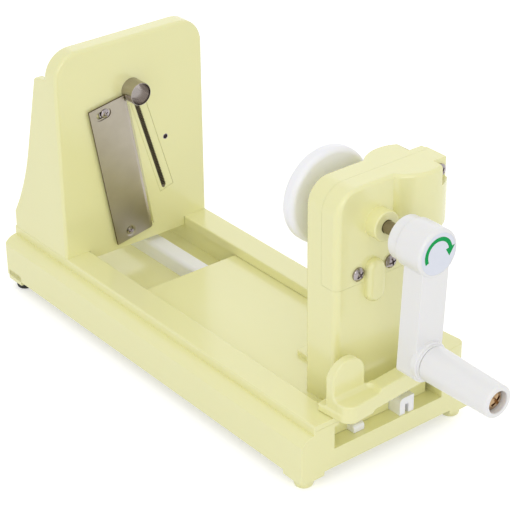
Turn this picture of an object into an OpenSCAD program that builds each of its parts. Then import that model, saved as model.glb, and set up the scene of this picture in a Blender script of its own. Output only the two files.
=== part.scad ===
// Hand cranked turning slicer for vegetables: a moulded base with two lipped rails,
// a blade stand at the rear and a sliding carriage with a crank at the front.
// Millimetres, +X towards the crank, +Z up. The origin lies on the table plane,
// under the middle of the whole object.

/* [Base] */
// Length of the base
base_len = 308; // [290:1:330]
// Width of the base over its side walls
base_w = 130; // [124:1:140]
// Height of the rail tops above the base's lower edge
rail_h = 33.4; // [32:0.1:38]
// Height of the crease between shoulder and rail
crease_h = 27.5; // [25:0.1:31]
// Width of the rounded shoulder outside each rail
shoulder_w = 8.8; // [6:0.1:11]
// Rise of the rounded shoulder
shoulder_rise = 5; // [3:0.1:7]
// Clear width of the channel between the side walls
channel_w = 82.4; // [78:0.1:88]
// Overhang of each rail's lip over the channel
lip_over = 3; // [1.5:0.1:5]
// Height of the lips' undersides
lip_h = 27.1; // [26:0.1:30]
// Height of the channel floor
floor_h = 12.5; // [9:0.1:13.5]
// Wall thickness of the mouldings
wall = 2.6; // [2:0.1:3.2]
// Side of the square pads under the corners
pad_w = 16.5; // [14:0.5:22]
// Height of the corner pads
pad_h = 3; // [1:0.1:5]
// Radius of the feet
foot_r = 5.7; // [4:0.1:7]
// Height of the feet
foot_h = 6; // [3:0.1:8]
// Radius of the base's upright corners
base_corner_r = 2.5; // [1:0.1:5]

/* [Guide rail] */
// Width of the white guide rail
guide_w = 10.8; // [8:0.1:12]
// Height of the white guide rail
guide_h = 11; // [8:0.1:11]
// Sideways place of the guide rail
guide_y = 14.4; // [12:0.1:17]
// Width of the groove in the rail's underside
groove_w = 2.7; // [2:0.1:4]
// Depth of the groove in the rail's underside
groove_h = 6.3; // [4:0.1:7]

/* [Blade stand] */
// Distance of the stand's face behind the base's front
stand_setback = 246.3; // [240:0.1:256]
// Thickness of the stand's panel
stand_t = 11.6; // [9:0.1:14]
// Height of the stand above the base's lower edge
stand_h = 172.5; // [165:0.5:185]
// Radius of the stand's top corners
stand_corner_r = 17.5; // [8:0.5:25]
// Thickness of the panel's front skin
skin_t = 5; // [4.2:0.1:6.5]
// Height of the side wings above the base's lower edge
wing_h = 153; // [140:0.5:160]
// Depth of the wings behind the panel at their top
wing_top_d = 13.5; // [8:0.5:20]

/* [Blade] */
// Width of the slicing blade
blade_w = 28.8; // [24:0.1:32]
// Length of the slicing blade
blade_len = 100.6; // [96:0.1:101]
// Thickness of the slicing blade
blade_t = 1.2; // [0.8:0.1:2]
// Lean of the blade from upright, in degrees
blade_lean = 9.6; // [8:0.1:11]
// Gap between blade and stand, which sets the slice
slice_t = 1.2; // [0.8:0.1:2.5]
// Width of the ground bevel on the cutting edge
bevel_w = 3; // [1:0.1:5]
// Distance of each blade screw from the blade's middle
blade_hole_v = 44.7; // [40:0.1:45]
// Length of the slot at the upper blade screw
blade_slot_len = 12; // [10.5:0.1:14]

/* [Core tube and comb] */
// Outer radius of the coring tube
core_r = 7.6; // [6:0.1:9]
// Wall of the coring tube
core_wall = 1; // [0.6:0.1:1.6]
// Reach of the coring tube in front of the stand
core_reach = 10.6; // [6:0.1:14]
// Width of the comb holder
comb_w = 11.2; // [9:0.1:14]
// Length of the comb holder
comb_len = 71.7; // [60:0.1:76]
// Lean of the comb from upright, in degrees
comb_lean = 16.4; // [14:0.1:19]
// Thickness of the comb holder
comb_t = 2.2; // [1.6:0.1:3]
// Pitch of the comb's teeth
tooth_pitch = 1.3; // [1:0.1:3]
// Height of the comb's teeth
tooth_h = 1.4; // [0.8:0.1:2.5]

/* [Carriage] */
// Height of the crank's axis above the base's lower edge
axis_h = 136.8; // [132:0.1:140]
// Distance of the column's face behind the base's front
column_setback = 14.5; // [13.5:0.1:17]
// Depth of the column
column_d = 25.8; // [22:0.1:30]
// Half width of the column
column_hw = 29; // [27.5:0.1:32]
// Height of the column above the base's lower edge
column_h = 161.2; // [158:0.1:168]
// Radius of the column's top corner
column_corner_r = 15; // [8:0.5:20]
// Height of the joint below the front cover
joint_h = 101.8; // [96:0.1:104]
// Depth of the front cover without its boss
cover_d = 12.6; // [10:0.1:14]
// Radius of the round housing beside the shaft
barrel_r = 23.5; // [20:0.1:25]
// Radius of the housing's flatter front
barrel_front_r = 25; // [22:0.1:28]
// Sideways place of the round housing
barrel_y = 27.6; // [24:0.1:30]
// Lower end of the round housing
barrel_h = 119.5; // [115:0.5:128]
// Distance from the shaft to the housing's flat side behind the lug
barrel_flat_y = 39.8; // [37:0.1:42]
// Outer end of the screw lug
lug_y = 49.5; // [48:0.1:54]
// Length of the slide plate behind the base's front
plate_reach = 192; // [160:1:230]
// Thickness of the slide plate
plate_t = 2.5; // [1.5:0.1:3]
// Half width of the slide block
block_hw = 37.6; // [36:0.1:37.8]
// Distance of the slide block's face behind the base's front
block_setback = 10.2; // [9:0.1:11]
// Length of the slide block
block_len = 62; // [58:1:80]
// Half width of the foot tongue behind the column
tongue_hw = 8.4; // [7:0.1:12]
// Length of the foot tongue
tongue_len = 33; // [28:0.5:44]

/* [Release lever] */
// Height of the lever's bar
bar_h = 13.4; // [10:0.1:18]
// Depth of the lever's bar
bar_d = 10; // [8:0.1:12]
// Angle of the bar to the base's front, in degrees
bar_angle = 5.3; // [4.5:0.1:7]
// Near end of the lever
lever_near_y = -42.4; // [-44:0.1:-41]
// Far end of the lever
lever_far_y = 54; // [50:0.5:56]
// Width of the thumb tab
tab_w = 22.8; // [18:0.1:26]
// Height of the thumb tab above the rail tops
tab_h = 33.8; // [28:0.1:45]
// Thickness of the thumb tab
tab_t = 7; // [4:0.1:7]
// Radius of the lever's pivot pin
pivot_r = 2.5; // [1.5:0.1:3]
// Sideways place of the pivot pin
pivot_y = 28; // [26:0.5:31]

/* [Shaft and disc] */
// Radius of the crank's steel shaft
shaft_r = 3.8; // [3.2:0.1:5]
// Radius of the boss round the shaft
boss_r = 9; // [8:0.1:12]
// Length of the boss on the front cover
boss_len = 9.7; // [6:0.1:14]
// Length of the boss on the column's back
rear_boss_len = 5; // [3:0.1:7]
// Radius of the vegetable disc
disc_r = 29.2; // [25:0.1:34]
// Thickness of the vegetable disc
disc_t = 8.7; // [7.5:0.1:12]
// Gap between the column's back and the disc
disc_gap = 12; // [11:0.1:18]
// Length of the holding prongs
prong_len = 8; // [5:0.5:12]

/* [Crank and grip] */
// Length of shaft that shows in front of the boss
shaft_show = 12.8; // [8:0.1:18]
// Length of the hub
hub_len = 26; // [22:0.1:32]
// Radius of the hub
hub_r = 14.2; // [13.6:0.1:18]
// Length of the hub's narrower collar
hub_neck_len = 7; // [4:0.1:9]
// Radius of the hub's narrower collar
hub_neck_r = 13; // [12:0.1:13.5]
// Distance from the crank's axis to the grip's axis
crank_r = 65.3; // [55:0.1:75]
// Swing of the crank from hanging straight down, in degrees
crank_rest = -3; // [-10:0.5:10]
// Width of the crank's arm
arm_w = 19.3; // [16:0.1:22]
// Depth of the crank's arm
arm_d = 14.5; // [11:0.1:17]
// Radius of the arm's round lower end
arm_end_r = 13; // [11:0.1:16]
// Radius of the collar behind the grip
collar_r = 11.7; // [11:0.1:16]
// Length of the collar behind the grip
collar_len = 3.5; // [2:0.1:6]
// Length of the grip
grip_len = 49.6; // [40:0.1:65]
// Radius of the grip at the collar
grip_root_r = 10.6; // [9.8:0.1:12]
// Radius of the grip at its free end
grip_end_r = 9.6; // [8.5:0.1:11]
// Radius of the recess in the grip's end
recess_r = 6.5; // [5:0.1:7.5]
// Depth of the recess in the grip's end
recess_d = 5.5; // [4:0.1:8]

/* [Hidden] */
$fn = 64;

// Finishes
cream = [0.886, 0.878, 0.675];
white = [0.92, 0.92, 0.91];
steel = [0.66, 0.65, 0.62];
brass = [0.80, 0.68, 0.40];
rubber = [0.10, 0.10, 0.10];
pale_blue = [0.88, 0.90, 0.94];

// Clearances: fixed fits, running fits and sliding gaps
fit = 0.05;
run_gap = 0.05;
slide_gap = 0.35;
// A cut that passes cleanly through a face
over = 1;

// Heights of the base
z0 = pad_h + foot_h;
rail_z = z0 + rail_h;
crease_z = z0 + crease_h;
shoulder_z = crease_z - shoulder_rise;
lip_z = z0 + lip_h;
floor_z = z0 + floor_h;
axis_z = z0 + axis_h;

// Places along the length, from the grip's end to the base's rear
hub_back = -column_setback + boss_len + shaft_show;
hub_front = hub_back + hub_len;
arm_inset = 1;
arm_front = hub_front - arm_inset;
collar_front = arm_front + collar_len;
grip_back = collar_front + slide_gap;
grip_end = grip_back + grip_len;
overall_len = base_len + grip_end;
front_x = overall_len/2 - grip_end;
rear_x = -overall_len/2;

// Widths across the base
rail_out_y = base_w/2 - shoulder_w;
lip_y = channel_w/2 - lip_over;
shoulder_arc_r = (shoulder_w*shoulder_w + shoulder_rise*shoulder_rise)/(2*shoulder_rise);

// Blade stand
stand_face_x = front_x - stand_setback;
stand_back_x = stand_face_x - stand_t;
stand_hw = rail_out_y;
stand_top_z = z0 + stand_h;
plate_top_z = lip_z - slide_gap;
stand_low_z = plate_top_z + slide_gap + 0.2;
stand_rim = 3.5;
stand_sill = 9;
wing_t = 5.5;
wing_knee_h = 98;
wing_foot_h = 45;
wing_knee_d = 26.5;
wing_crown_r = 4;
wing_rise = 1.5;
stand_screw_y = (channel_w/2 + rail_out_y)/2;

// Blade, set in its own leaning frame whose middle lies at blade_y, blade_z
blade_y = -11.7;
blade_mid_h = 83.6;
blade_z = z0 + blade_mid_h;
blade_hole_u = -3;
blade_back_x = stand_face_x + slice_t;
blade_front_x = blade_back_x + blade_t;
blade_screw_r = 1.5;
blade_head_r = 3;
blade_head_h = 1.5;
blade_slot_w = 4.6;
blade_slot_shift = -1.7;
slot_recess_w = 7;
slot_recess_d = 0.5;
slit_in = 4.4;
slit_out = 2.3;
slit_low_v = -blade_len/2 + 0.6;
slit_top_margin = 9;
slit_high_v = blade_len/2 - slit_top_margin;
csk_r = 3.4;
csk_d = 1.7;

// Comb, set on a line that leaves the crank's axis
comb_start = 9.3;
comb_shift = 1.7;
comb_slot_w = 3;
comb_slot_top = 1.5;
comb_slot_margin = 1;
comb_blade_t = 0.8;
comb_blade_d = 5;
insert_y = 24.9;
insert_h = 96.5;
insert_z = z0 + insert_h;
insert_r = 1.9;
insert_bore_r = 1.5;

// Carriage
plate_low_z = plate_top_z - plate_t;
plate_hw = channel_w/2 - 0.6;
block_x1 = front_x - block_setback;
block_x0 = block_x1 - block_len;
block_low_z = floor_z + 0.3;
column_x1 = front_x - column_setback;
column_x0 = column_x1 - column_d;
column_top_z = z0 + column_h;
part_x = column_x1 - cover_d;
joint_z = z0 + joint_h;
barrel_setback = 7.9;
barrel_x = column_x1 - barrel_setback;
barrel_front_setback = 14.9;
barrel_front_x = column_x1 - barrel_front_setback;
barrel_front_y = 31.7;
barrel_z = z0 + barrel_h;
lug_proud = 1.2;
lug_d = 18.7;
lug_x1 = column_x1 + lug_proud;
lug_x0 = lug_x1 - lug_d;
shelf_x1 = front_x - 3;
shelf_top_z = rail_z - 0.2;
shelf_t = 5.5;
plan_r = 5;
plan_rear_r = 2.7;
top_r = 3.5;
tongue_t = 3;
tongue_screw_x = column_x0 - tongue_len/2;
bush_wall = 2;
shaft_gap = 0.3;
bush_len = 7;
cover_mid_y = -1.3;
cover_screw_y = 11.9;
ridge_y = -2.2;
cover_screw_h = 108.4;
cover_screw_z = z0 + cover_screw_h;
lug_screw_y = (barrel_flat_y + lug_y)/2;
lug_screw_drop = 7.2;
lug_screw_z = column_top_z - lug_screw_drop;
driver_drop = 4.9;
post_r = 4;
screw_r = 1.9;
screw_head_r = 4.1;
screw_head_h = 2.6;
head_gap = 0.3;
column_screw_y = guide_y + guide_w/2 + slide_gap + screw_head_r + head_gap + 1;
column_screw_x = (column_x0 + column_x1)/2;
rib_h = 14;
ridge_w = 12;
ridge_len = 26.4;
ridge_t = 3.6;
ridge_step = 0.9;
ridge_low = 13.2;
shoe_y = -19.3;
shoe_w = 7.8;
shoe_d = 6.1;
shoe_h = 4.5;
shoe_pin_r = 1.5;

// Lever, set in its own frame that is turned by bar_angle about the pivot pin
lever_z = rail_z + 0.2;
bar_top_z = lever_z + bar_h;
flange_t = 4.6;
pivot_setback = 8;
pivot_x = front_x - pivot_setback;
scoop_r = 3;

// Shaft, disc and crank
rear_boss_x = column_x0 - rear_boss_len;
disc_front_x = column_x0 - disc_gap;
disc_back_x = disc_front_x - disc_t;
disc_hub_r = 10;
disc_hub_len = disc_gap - rear_boss_len - 2;
disc_wall = 4.3;
shaft_x0 = disc_back_x + disc_wall;
shaft_end_gap = 6;
shaft_x1 = front_x + hub_front - shaft_end_gap;
grub_r = 2;
grub_x = front_x + hub_back + hub_neck_len/2;
label_t = 0.4;
label_rim = 2;
label_r = hub_r - label_rim;
axle_r = 3;
axle_head_r = 5;
axle_head_h = 3;
axle_bite = 10;

// Lays a (y, z) outline along X between two places
module along_x(x0, x1) {
    translate([x0, 0, 0]) rotate([90, 0, 90]) linear_extrude(x1 - x0) children();
}

// Lays an (x, z) outline along Y between two places
module along_y(y0, y1) {
    translate([0, y1, 0]) rotate([90, 0, 0]) linear_extrude(y1 - y0) children();
}

// A round bar along X
module rod_x(x0, x1, r) {
    translate([x0, 0, 0]) rotate([0, 90, 0]) cylinder(h = x1 - x0, r = r);
}

// A cone along X
module cone_x(x0, x1, r0, r1) {
    translate([x0, 0, 0]) rotate([0, 90, 0]) cylinder(h = x1 - x0, r1 = r0, r2 = r1);
}

// A rectangle with four round corners, from corner to corner
module round_rect(low, high, r) {
    size = high - low;
    union() {
        translate([low[0] + r, low[1]]) square([size[0] - 2*r, size[1]]);
        translate([low[0], low[1] + r]) square([size[0], size[1] - 2*r]);
        for (cx = [low[0] + r, high[0] - r], cy = [low[1] + r, high[1] - r])
            translate([cx, cy]) circle(r = r);
    }
}

// A rectangle with its two upper corners round
module arch_rect(low, high, r) {
    union() {
        translate(low) square([high[0] - low[0], high[1] - low[1] - r]);
        translate([low[0] + r, low[1]]) square([high[0] - low[0] - 2*r, high[1] - low[1]]);
        for (cx = [low[0] + r, high[0] - r])
            translate([cx, high[1] - r]) circle(r = r);
    }
}

// A cross head recess, cut from z = 0 downwards
module cross_cut(r, depth) {
    for (a = [0, 90])
        rotate([0, 0, a]) translate([-r, -r*0.22, -depth]) cube([2*r, r*0.44, depth + over]);
}

// A pan head screw that points down from z = 0
module pan_screw(r, len, head_r, head_h) {
    difference() {
        union() {
            translate([0, 0, -len]) cylinder(h = len, r = r);
            cylinder(h = head_h*0.5, r = head_r);
            translate([0, 0, head_h*0.5]) cylinder(h = head_h*0.5, r1 = head_r, r2 = head_r*0.62);
        }
        translate([0, 0, head_h]) cross_cut(head_r*0.5, head_h*0.6);
    }
}

// Turns an upright screw so that it points to the rear
module to_rear() {
    rotate([0, 90, 0]) children();
}

// Places a shape at the crank's axis
module at_axis() {
    translate([0, 0, axis_z]) children();
}

// Places a shape in the blade's leaning frame: y across the blade, z along it
module in_blade_frame() {
    translate([0, blade_y, blade_z]) rotate([blade_lean, 0, 0]) children();
}

// Places a shape in the comb's frame: z runs out from the crank's axis
module in_comb_frame() {
    at_axis() rotate([180 + comb_lean, 0, 0]) mirror([0, 1, 0]) children();
}

// Base

module base_half_outline() {
    union() {
        translate([0, z0]) square([channel_w/2 + over, floor_h]);
        translate([channel_w/2, z0]) square([base_w/2 - channel_w/2, shoulder_z - z0]);
        translate([channel_w/2, z0]) square([rail_out_y - channel_w/2, rail_h]);
        translate([lip_y, lip_z]) square([lip_over + over, rail_z - lip_z]);
        intersection() {
            translate([rail_out_y - over, shoulder_z - over])
                square([shoulder_w + over, shoulder_rise + over]);
            translate([rail_out_y, crease_z - shoulder_arc_r]) circle(r = shoulder_arc_r, $fn = 128);
        }
    }
}

module base_frame() {
    pocket_len = base_len - 2*wall;
    color(cream) difference() {
        union() {
            intersection() {
                along_x(rear_x, front_x) {
                    base_half_outline();
                    mirror([1, 0]) base_half_outline();
                }
                translate([0, 0, z0 - over]) linear_extrude(rail_h + 2*over)
                    round_rect([rear_x, -base_w/2], [front_x, base_w/2], base_corner_r);
            }
        }
        // Hollow undersides of the two side walls and of the floor
        for (s = [-1, 1])
            translate([rear_x + wall, s > 0 ? channel_w/2 + wall : -base_w/2 + wall, z0 - over])
                cube([pocket_len, (base_w - channel_w)/2 - 2*wall, shoulder_z - wall - z0 + over]);
        translate([rear_x + wall, -channel_w/2, z0 - over])
            cube([pocket_len, channel_w, floor_h - wall + over]);
        // Holes for the stand's and the guide rail's screws
        for (s = [-1, 1])
            translate([(stand_face_x + stand_back_x)/2, s*stand_screw_y, z0])
                cylinder(h = rail_h + over, r = screw_r + fit);
        for (s = [-1, 1])
            translate([(stand_face_x + stand_back_x)/2, s*stand_screw_y, z0 - over])
                cylinder(h = shoulder_z - wall - z0 + over, r = screw_head_r + head_gap);
        for (x = rail_screw_places())
            translate([x, guide_y, z0]) cylinder(h = floor_h + over, r = rail_screw_r + 2*fit);
    }
    // Corner pads with sockets for the feet
    color(cream) for (sx = [0, 1], sy = [0, 1]) corner_pad(sx, sy);
}

pad_fill = 4;
foot_spigot_r = 2.8;
foot_taper = 1.2;
rail_screw_r = 1.2;
rail_screw_gap = 1;
rail_head_r = 2.6;
rail_head_h = 1.8;

function rail_screw_places() = [for (k = [0.12, 0.5, 0.88]) rear_x + base_len*k];
function foot_x(sx) = sx == 0 ? rear_x + pad_w/2 : front_x - pad_w/2;
function foot_y(sy) = sy == 0 ? -base_w/2 + pad_w/2 : base_w/2 - pad_w/2;

module corner_pad(sx, sy) {
    difference() {
        intersection() {
            translate([foot_x(sx) - pad_w/2, foot_y(sy) - pad_w/2, foot_h])
                cube([pad_w, pad_w, pad_h + pad_fill]);
            translate([0, 0, foot_h - over]) linear_extrude(pad_h + pad_fill + 2*over)
                round_rect([rear_x, -base_w/2], [front_x, base_w/2], base_corner_r);
        }
        translate([foot_x(sx), foot_y(sy), foot_h - over])
            cylinder(h = pad_h + over, r = foot_spigot_r + fit);
    }
}

module foot(sx, sy) {
    translate([foot_x(sx), foot_y(sy), 0]) {
        cylinder(h = foot_taper, r1 = foot_r - foot_taper, r2 = foot_r);
        translate([0, 0, foot_taper]) cylinder(h = foot_h - foot_taper, r = foot_r);
        cylinder(h = foot_h + pad_h - fit, r = foot_spigot_r);
    }
}

module front_feet() {
    color(cream) for (sy = [0, 1]) foot(1, sy);
}

module rear_feet() {
    color(rubber) for (sy = [0, 1]) foot(0, sy);
}

module guide_rail() {
    edge_r = 3;
    top = floor_z + guide_h;
    color(white) along_x(rear_x + 1, front_x - 1) difference() {
        union() {
            translate([guide_y - guide_w/2 + edge_r, floor_z]) square([guide_w - edge_r, guide_h]);
            translate([guide_y - guide_w/2, floor_z]) square([guide_w, guide_h - edge_r]);
            translate([guide_y - guide_w/2 + edge_r, top - edge_r]) circle(r = edge_r);
        }
        translate([guide_y - groove_w/2, floor_z - over]) square([groove_w, groove_h + over]);
    }
}

module rail_screws() {
    color(steel) for (x = rail_screw_places())
        translate([x, guide_y, floor_z - wall]) mirror([0, 0, 1])
            pan_screw(rail_screw_r, wall + groove_h - rail_screw_gap, rail_head_r, rail_head_h);
}

// Blade stand

module wing_outline() {
    back = stand_back_x;
    knee = [back - wing_knee_d, z0 + wing_knee_h];
    toe = [rear_x + 1, z0 + wing_foot_h];
    top_z = z0 + wing_h;
    difference() {
        union() {
            polygon([[back + over, rail_z], [back + over, top_z + wing_rise],
                [back - wing_top_d + wing_crown_r, top_z], [back - wing_top_d, top_z - wing_crown_r],
                knee, toe, [toe[0], rail_z]]);
            translate([back - wing_top_d + wing_crown_r, top_z - wing_crown_r]) circle(r = wing_crown_r);
        }
        // Hollow sweep between the knee and the toe
        sweep_cut(knee, toe);
    }
}

// A shallow hollow arc across the chord between two points of an outline
module sweep_cut(a, b) {
    sag = 2.3;
    chord = norm(b - a);
    r = (chord*chord/4 + sag*sag)/(2*sag);
    mid = (a + b)/2;
    out = [-(a - b)[1], (a - b)[0]]/chord;
    translate(mid + out*(r - sag)) circle(r = r, $fn = 180);
}

module panel_outline() {
    union() {
        arch_rect([-stand_hw, rail_z], [stand_hw, stand_top_z], stand_corner_r);
        translate([-lip_y + slide_gap, stand_low_z])
            square([2*(lip_y - slide_gap), rail_z - stand_low_z + over]);
    }
}

module blade_stand() {
    core_boss_r = core_r + 3;
    insert_boss_r = insert_r + 2;
    color(cream) difference() {
        union() {
            difference() {
                along_x(stand_back_x, stand_face_x) panel_outline();
                // Hollow back behind the front skin
                along_x(stand_back_x - over, stand_face_x - skin_t)
                    arch_rect([-stand_hw + stand_rim, rail_z + stand_sill],
                        [stand_hw - stand_rim, stand_top_z - stand_rim], stand_corner_r - stand_rim);
            }
            for (s = [-1, 1]) {
                y = s*(stand_hw - wing_t/2);
                along_y(y - wing_t/2, y + wing_t/2) wing_outline();
            }
            at_axis() rod_x(stand_back_x, stand_face_x - skin_t + over, core_boss_r);
            translate([0, insert_y, insert_z])
                rod_x(stand_back_x, stand_face_x - skin_t + over, insert_boss_r);
            in_blade_frame() for (v = [-blade_hole_v, blade_hole_v])
                translate([0, blade_hole_u, v]) rod_x(stand_back_x, stand_face_x - skin_t + over, 4);
        }
        at_axis() rod_x(stand_back_x - over, stand_face_x + over, core_r + fit);
        translate([0, insert_y, insert_z]) rod_x(stand_back_x - over, stand_face_x + over, insert_r + fit);
        // Slit that takes the slice through the panel beside the cutting edge
        in_blade_frame() translate([stand_back_x - over, blade_w/2 - slit_in, slit_low_v])
            cube([stand_t + 2*over, slit_in + slit_out, slit_high_v - slit_low_v]);
        in_blade_frame() for (v = [-blade_hole_v, blade_hole_v])
            translate([0, blade_hole_u, v])
                rod_x(stand_back_x - over, stand_face_x + over, blade_screw_r + fit);
        // Pocket for the comb holder and slot for the comb
        in_comb_frame() {
            translate([stand_face_x - comb_t, comb_shift - comb_w/2 - fit, comb_start - fit])
                cube([comb_t + over, comb_w + 2*fit, comb_len + 2*fit]);
            comb_slot(stand_back_x - over, stand_face_x + over);
        }
        for (s = [-1, 1])
            translate([(stand_face_x + stand_back_x)/2, s*stand_screw_y, rail_z - over])
                cylinder(h = stand_screw_bite + over, r = screw_r + fit);
    }
}

stand_screw_bite = 8;

module stand_screws() {
    deck_low_z = shoulder_z - wall;
    color(steel) for (s = [-1, 1])
        translate([(stand_face_x + stand_back_x)/2, s*stand_screw_y, deck_low_z]) mirror([0, 0, 1])
            pan_screw(screw_r, rail_z - deck_low_z + stand_screw_bite - 1, screw_head_r, screw_head_h);
}

module slicing_blade() {
    color(steel) difference() {
        in_blade_frame() difference() {
            translate([0, 0, -blade_len/2]) linear_extrude(blade_len)
                polygon([[blade_back_x, -blade_w/2], [blade_front_x, -blade_w/2],
                    [blade_front_x, blade_w/2 - bevel_w], [blade_back_x + 0.15, blade_w/2],
                    [blade_back_x, blade_w/2]]);
            // Adjusting slot above, countersunk hole below
            translate([0, blade_hole_u + blade_slot_shift, blade_hole_v]) blade_slot();
            translate([0, blade_hole_u, -blade_hole_v]) {
                rod_x(blade_back_x - over, blade_front_x + over, blade_screw_r + 2*fit);
                cone_x(blade_front_x - csk_d - fit, blade_front_x + fit, blade_screw_r + fit, csk_r + 2*fit);
            }
        }
        at_axis() rod_x(blade_back_x - over, blade_front_x + over, core_r + slide_gap);
    }
}

// A slot across the blade in a shallow recess that takes the screw's head
module blade_slot() {
    slot_hl = (blade_slot_len - slot_recess_w)/2;
    long_hole(blade_back_x - over, blade_front_x + over, slot_hl, blade_slot_w);
    long_hole(blade_front_x - slot_recess_d, blade_front_x + over, slot_hl, slot_recess_w);
}

module long_hole(x0, x1, half_len, w) {
    for (s = [-1, 1])
        translate([0, s*half_len, 0]) rod_x(x0, x1, w/2);
    translate([x0, -half_len, -w/2]) cube([x1 - x0, 2*half_len, w]);
}

module blade_spacers() {
    spacer_r = 4;
    color(steel) in_blade_frame() for (v = [-blade_hole_v, blade_hole_v])
        translate([0, blade_hole_u, v]) difference() {
            rod_x(stand_face_x, blade_back_x, spacer_r);
            rod_x(stand_face_x - over, blade_back_x + over, blade_screw_r + 0.9);
        }
}

module upper_blade_screw() {
    seat = blade_front_x - slot_recess_d;
    color(steel) in_blade_frame() translate([seat, blade_hole_u, blade_hole_v])
        to_rear() pan_screw(blade_screw_r, seat - stand_back_x - over, blade_head_r, blade_head_h);
}

module lower_blade_screw() {
    color(steel) in_blade_frame() translate([0, blade_hole_u, -blade_hole_v]) difference() {
        union() {
            rod_x(stand_back_x + 1, blade_front_x - csk_d + fit, blade_screw_r);
            cone_x(blade_front_x - csk_d, blade_front_x, blade_screw_r, csk_r);
        }
        translate([blade_front_x, 0, 0]) to_rear() cross_cut(csk_r*0.5, 1.1);
    }
}

module core_tube() {
    tip = stand_face_x + core_reach;
    color(steel) at_axis() difference() {
        rod_x(stand_back_x, tip, core_r);
        rod_x(stand_back_x - over, tip + over, core_r - core_wall);
        cone_x(tip - 1.2, tip + fit, core_r - core_wall, core_r - 0.3);
    }
}

module comb_holder() {
    color(cream) in_comb_frame() difference() {
        translate([stand_face_x - comb_t, comb_shift - comb_w/2, comb_start])
            cube([comb_t, comb_w, comb_len]);
        comb_slot(stand_face_x - comb_t - over, stand_face_x + over);
    }
}

// The comb's slot, with a pointed lower end, drawn in the comb's frame
module comb_slot(x0, x1) {
    hw = comb_slot_w/2;
    low = comb_start + comb_slot_top;
    high = comb_start + comb_len - comb_slot_margin - hw;
    translate([x0, 0, 0]) rotate([90, 0, 90]) linear_extrude(x1 - x0)
        polygon([[-hw, low], [hw, low], [hw, high], [0, high + hw], [-hw, high]]);
}

module comb_blade() {
    seat = comb_start + comb_slot_top;
    count = floor((comb_len - comb_slot_top - comb_slot_margin - comb_slot_w/2)/tooth_pitch);
    root_x = stand_face_x - 0.4;
    saw = [for (k = [0:count - 1]) each
        [[root_x, seat + k*tooth_pitch], [root_x + tooth_h, seat + (k + 0.5)*tooth_pitch]]];
    color(steel) in_comb_frame()
        along_y(comb_slot_w/2 - comb_blade_t, comb_slot_w/2)
            polygon(concat([[root_x - comb_blade_d, seat]], saw,
                [[root_x, seat + count*tooth_pitch], [root_x - comb_blade_d, seat + count*tooth_pitch]]));
}

module insert_nut() {
    color(steel) translate([0, insert_y, insert_z]) difference() {
        rod_x(stand_back_x + 1, stand_face_x, insert_r);
        rod_x(stand_back_x, stand_face_x + over, insert_bore_r);
    }
}

// Carriage

module slide_plate() {
    color(cream) difference() {
        translate([front_x - plate_reach, -plate_hw, plate_low_z])
            cube([plate_reach - column_setback, 2*plate_hw, plate_t]);
        for (s = [-1, 1])
            translate([column_screw_x, s*column_screw_y, plate_low_z - over])
                cylinder(h = plate_t + 2*over, r = screw_r + fit);
        translate([tongue_screw_x, 0, plate_low_z - over]) cylinder(h = plate_t + 2*over, r = screw_r + fit);
    }
}

head_pocket_d = 3.2;

module slide_block() {
    wall_d = column_setback - block_setback - fit;
    color(cream) difference() {
        union() {
            translate([block_x0, -block_hw, block_low_z])
                cube([block_len, 2*block_hw, plate_low_z - block_low_z]);
            translate([block_x1 - wall_d, -block_hw, block_low_z])
                cube([wall_d, 2*block_hw, shelf_top_z - block_low_z]);
            translate([block_x1 - wall_d, -block_hw, shelf_top_z - shelf_t])
                cube([shelf_x1 - block_x1 + wall_d, 2*block_hw, shelf_t]);
        }
        // Keel slot over the guide rail
        translate([block_x0 - over, guide_y - guide_w/2 - slide_gap, block_low_z - over])
            cube([block_len + 2*over, guide_w + 2*slide_gap, guide_h + slide_gap + over - 0.3]);
        for (s = [-1, 1]) translate([column_screw_x, s*column_screw_y, block_low_z - over]) {
            cylinder(h = plate_low_z, r = screw_r + fit);
            cylinder(h = head_pocket_d + over, r = screw_head_r + head_gap);
        }
        translate([tongue_screw_x, 0, block_low_z + 2]) cylinder(h = plate_low_z, r = screw_r + fit);
        translate([pivot_x, pivot_y, shelf_top_z - shelf_t - over])
            cylinder(h = shelf_t + 2*over, r = pivot_r + fit);
        translate([block_x1 - 4 - fit, shoe_y, block_low_z + shoe_h/2])
            rotate([0, 90, 0]) cylinder(h = 4 + over, r = shoe_pin_r + fit);
    }
}

module slide_shoe() {
    edge_r = 2;
    top = block_low_z + shoe_h;
    color(white) {
        along_y(shoe_y - shoe_w/2, shoe_y + shoe_w/2) union() {
            translate([block_x1, block_low_z]) square([shoe_d - edge_r, shoe_h]);
            translate([block_x1, block_low_z]) square([shoe_d, shoe_h - edge_r]);
            translate([block_x1 + shoe_d - edge_r, top - edge_r]) circle(r = edge_r);
        }
        translate([0, shoe_y, block_low_z + shoe_h/2]) rod_x(block_x1 - 4, block_x1 + 1, shoe_pin_r);
    }
}

// A rectangle in plan with rounder corners in front than behind
module column_plan(x0, x1, hw, rear_r, front_r) {
    mid = (x0 + x1)/2;
    union() {
        translate([x0 + rear_r, -hw]) square([x1 - x0 - rear_r - front_r, 2*hw]);
        translate([x0, -hw + rear_r]) square([mid - x0, 2*(hw - rear_r)]);
        translate([mid, -hw + front_r]) square([x1 - mid, 2*(hw - front_r)]);
        for (s = [-1, 1]) {
            translate([x0 + rear_r, s*(hw - rear_r)]) circle(r = rear_r);
            translate([x1 - front_r, s*(hw - front_r)]) circle(r = front_r);
        }
    }
}

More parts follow.
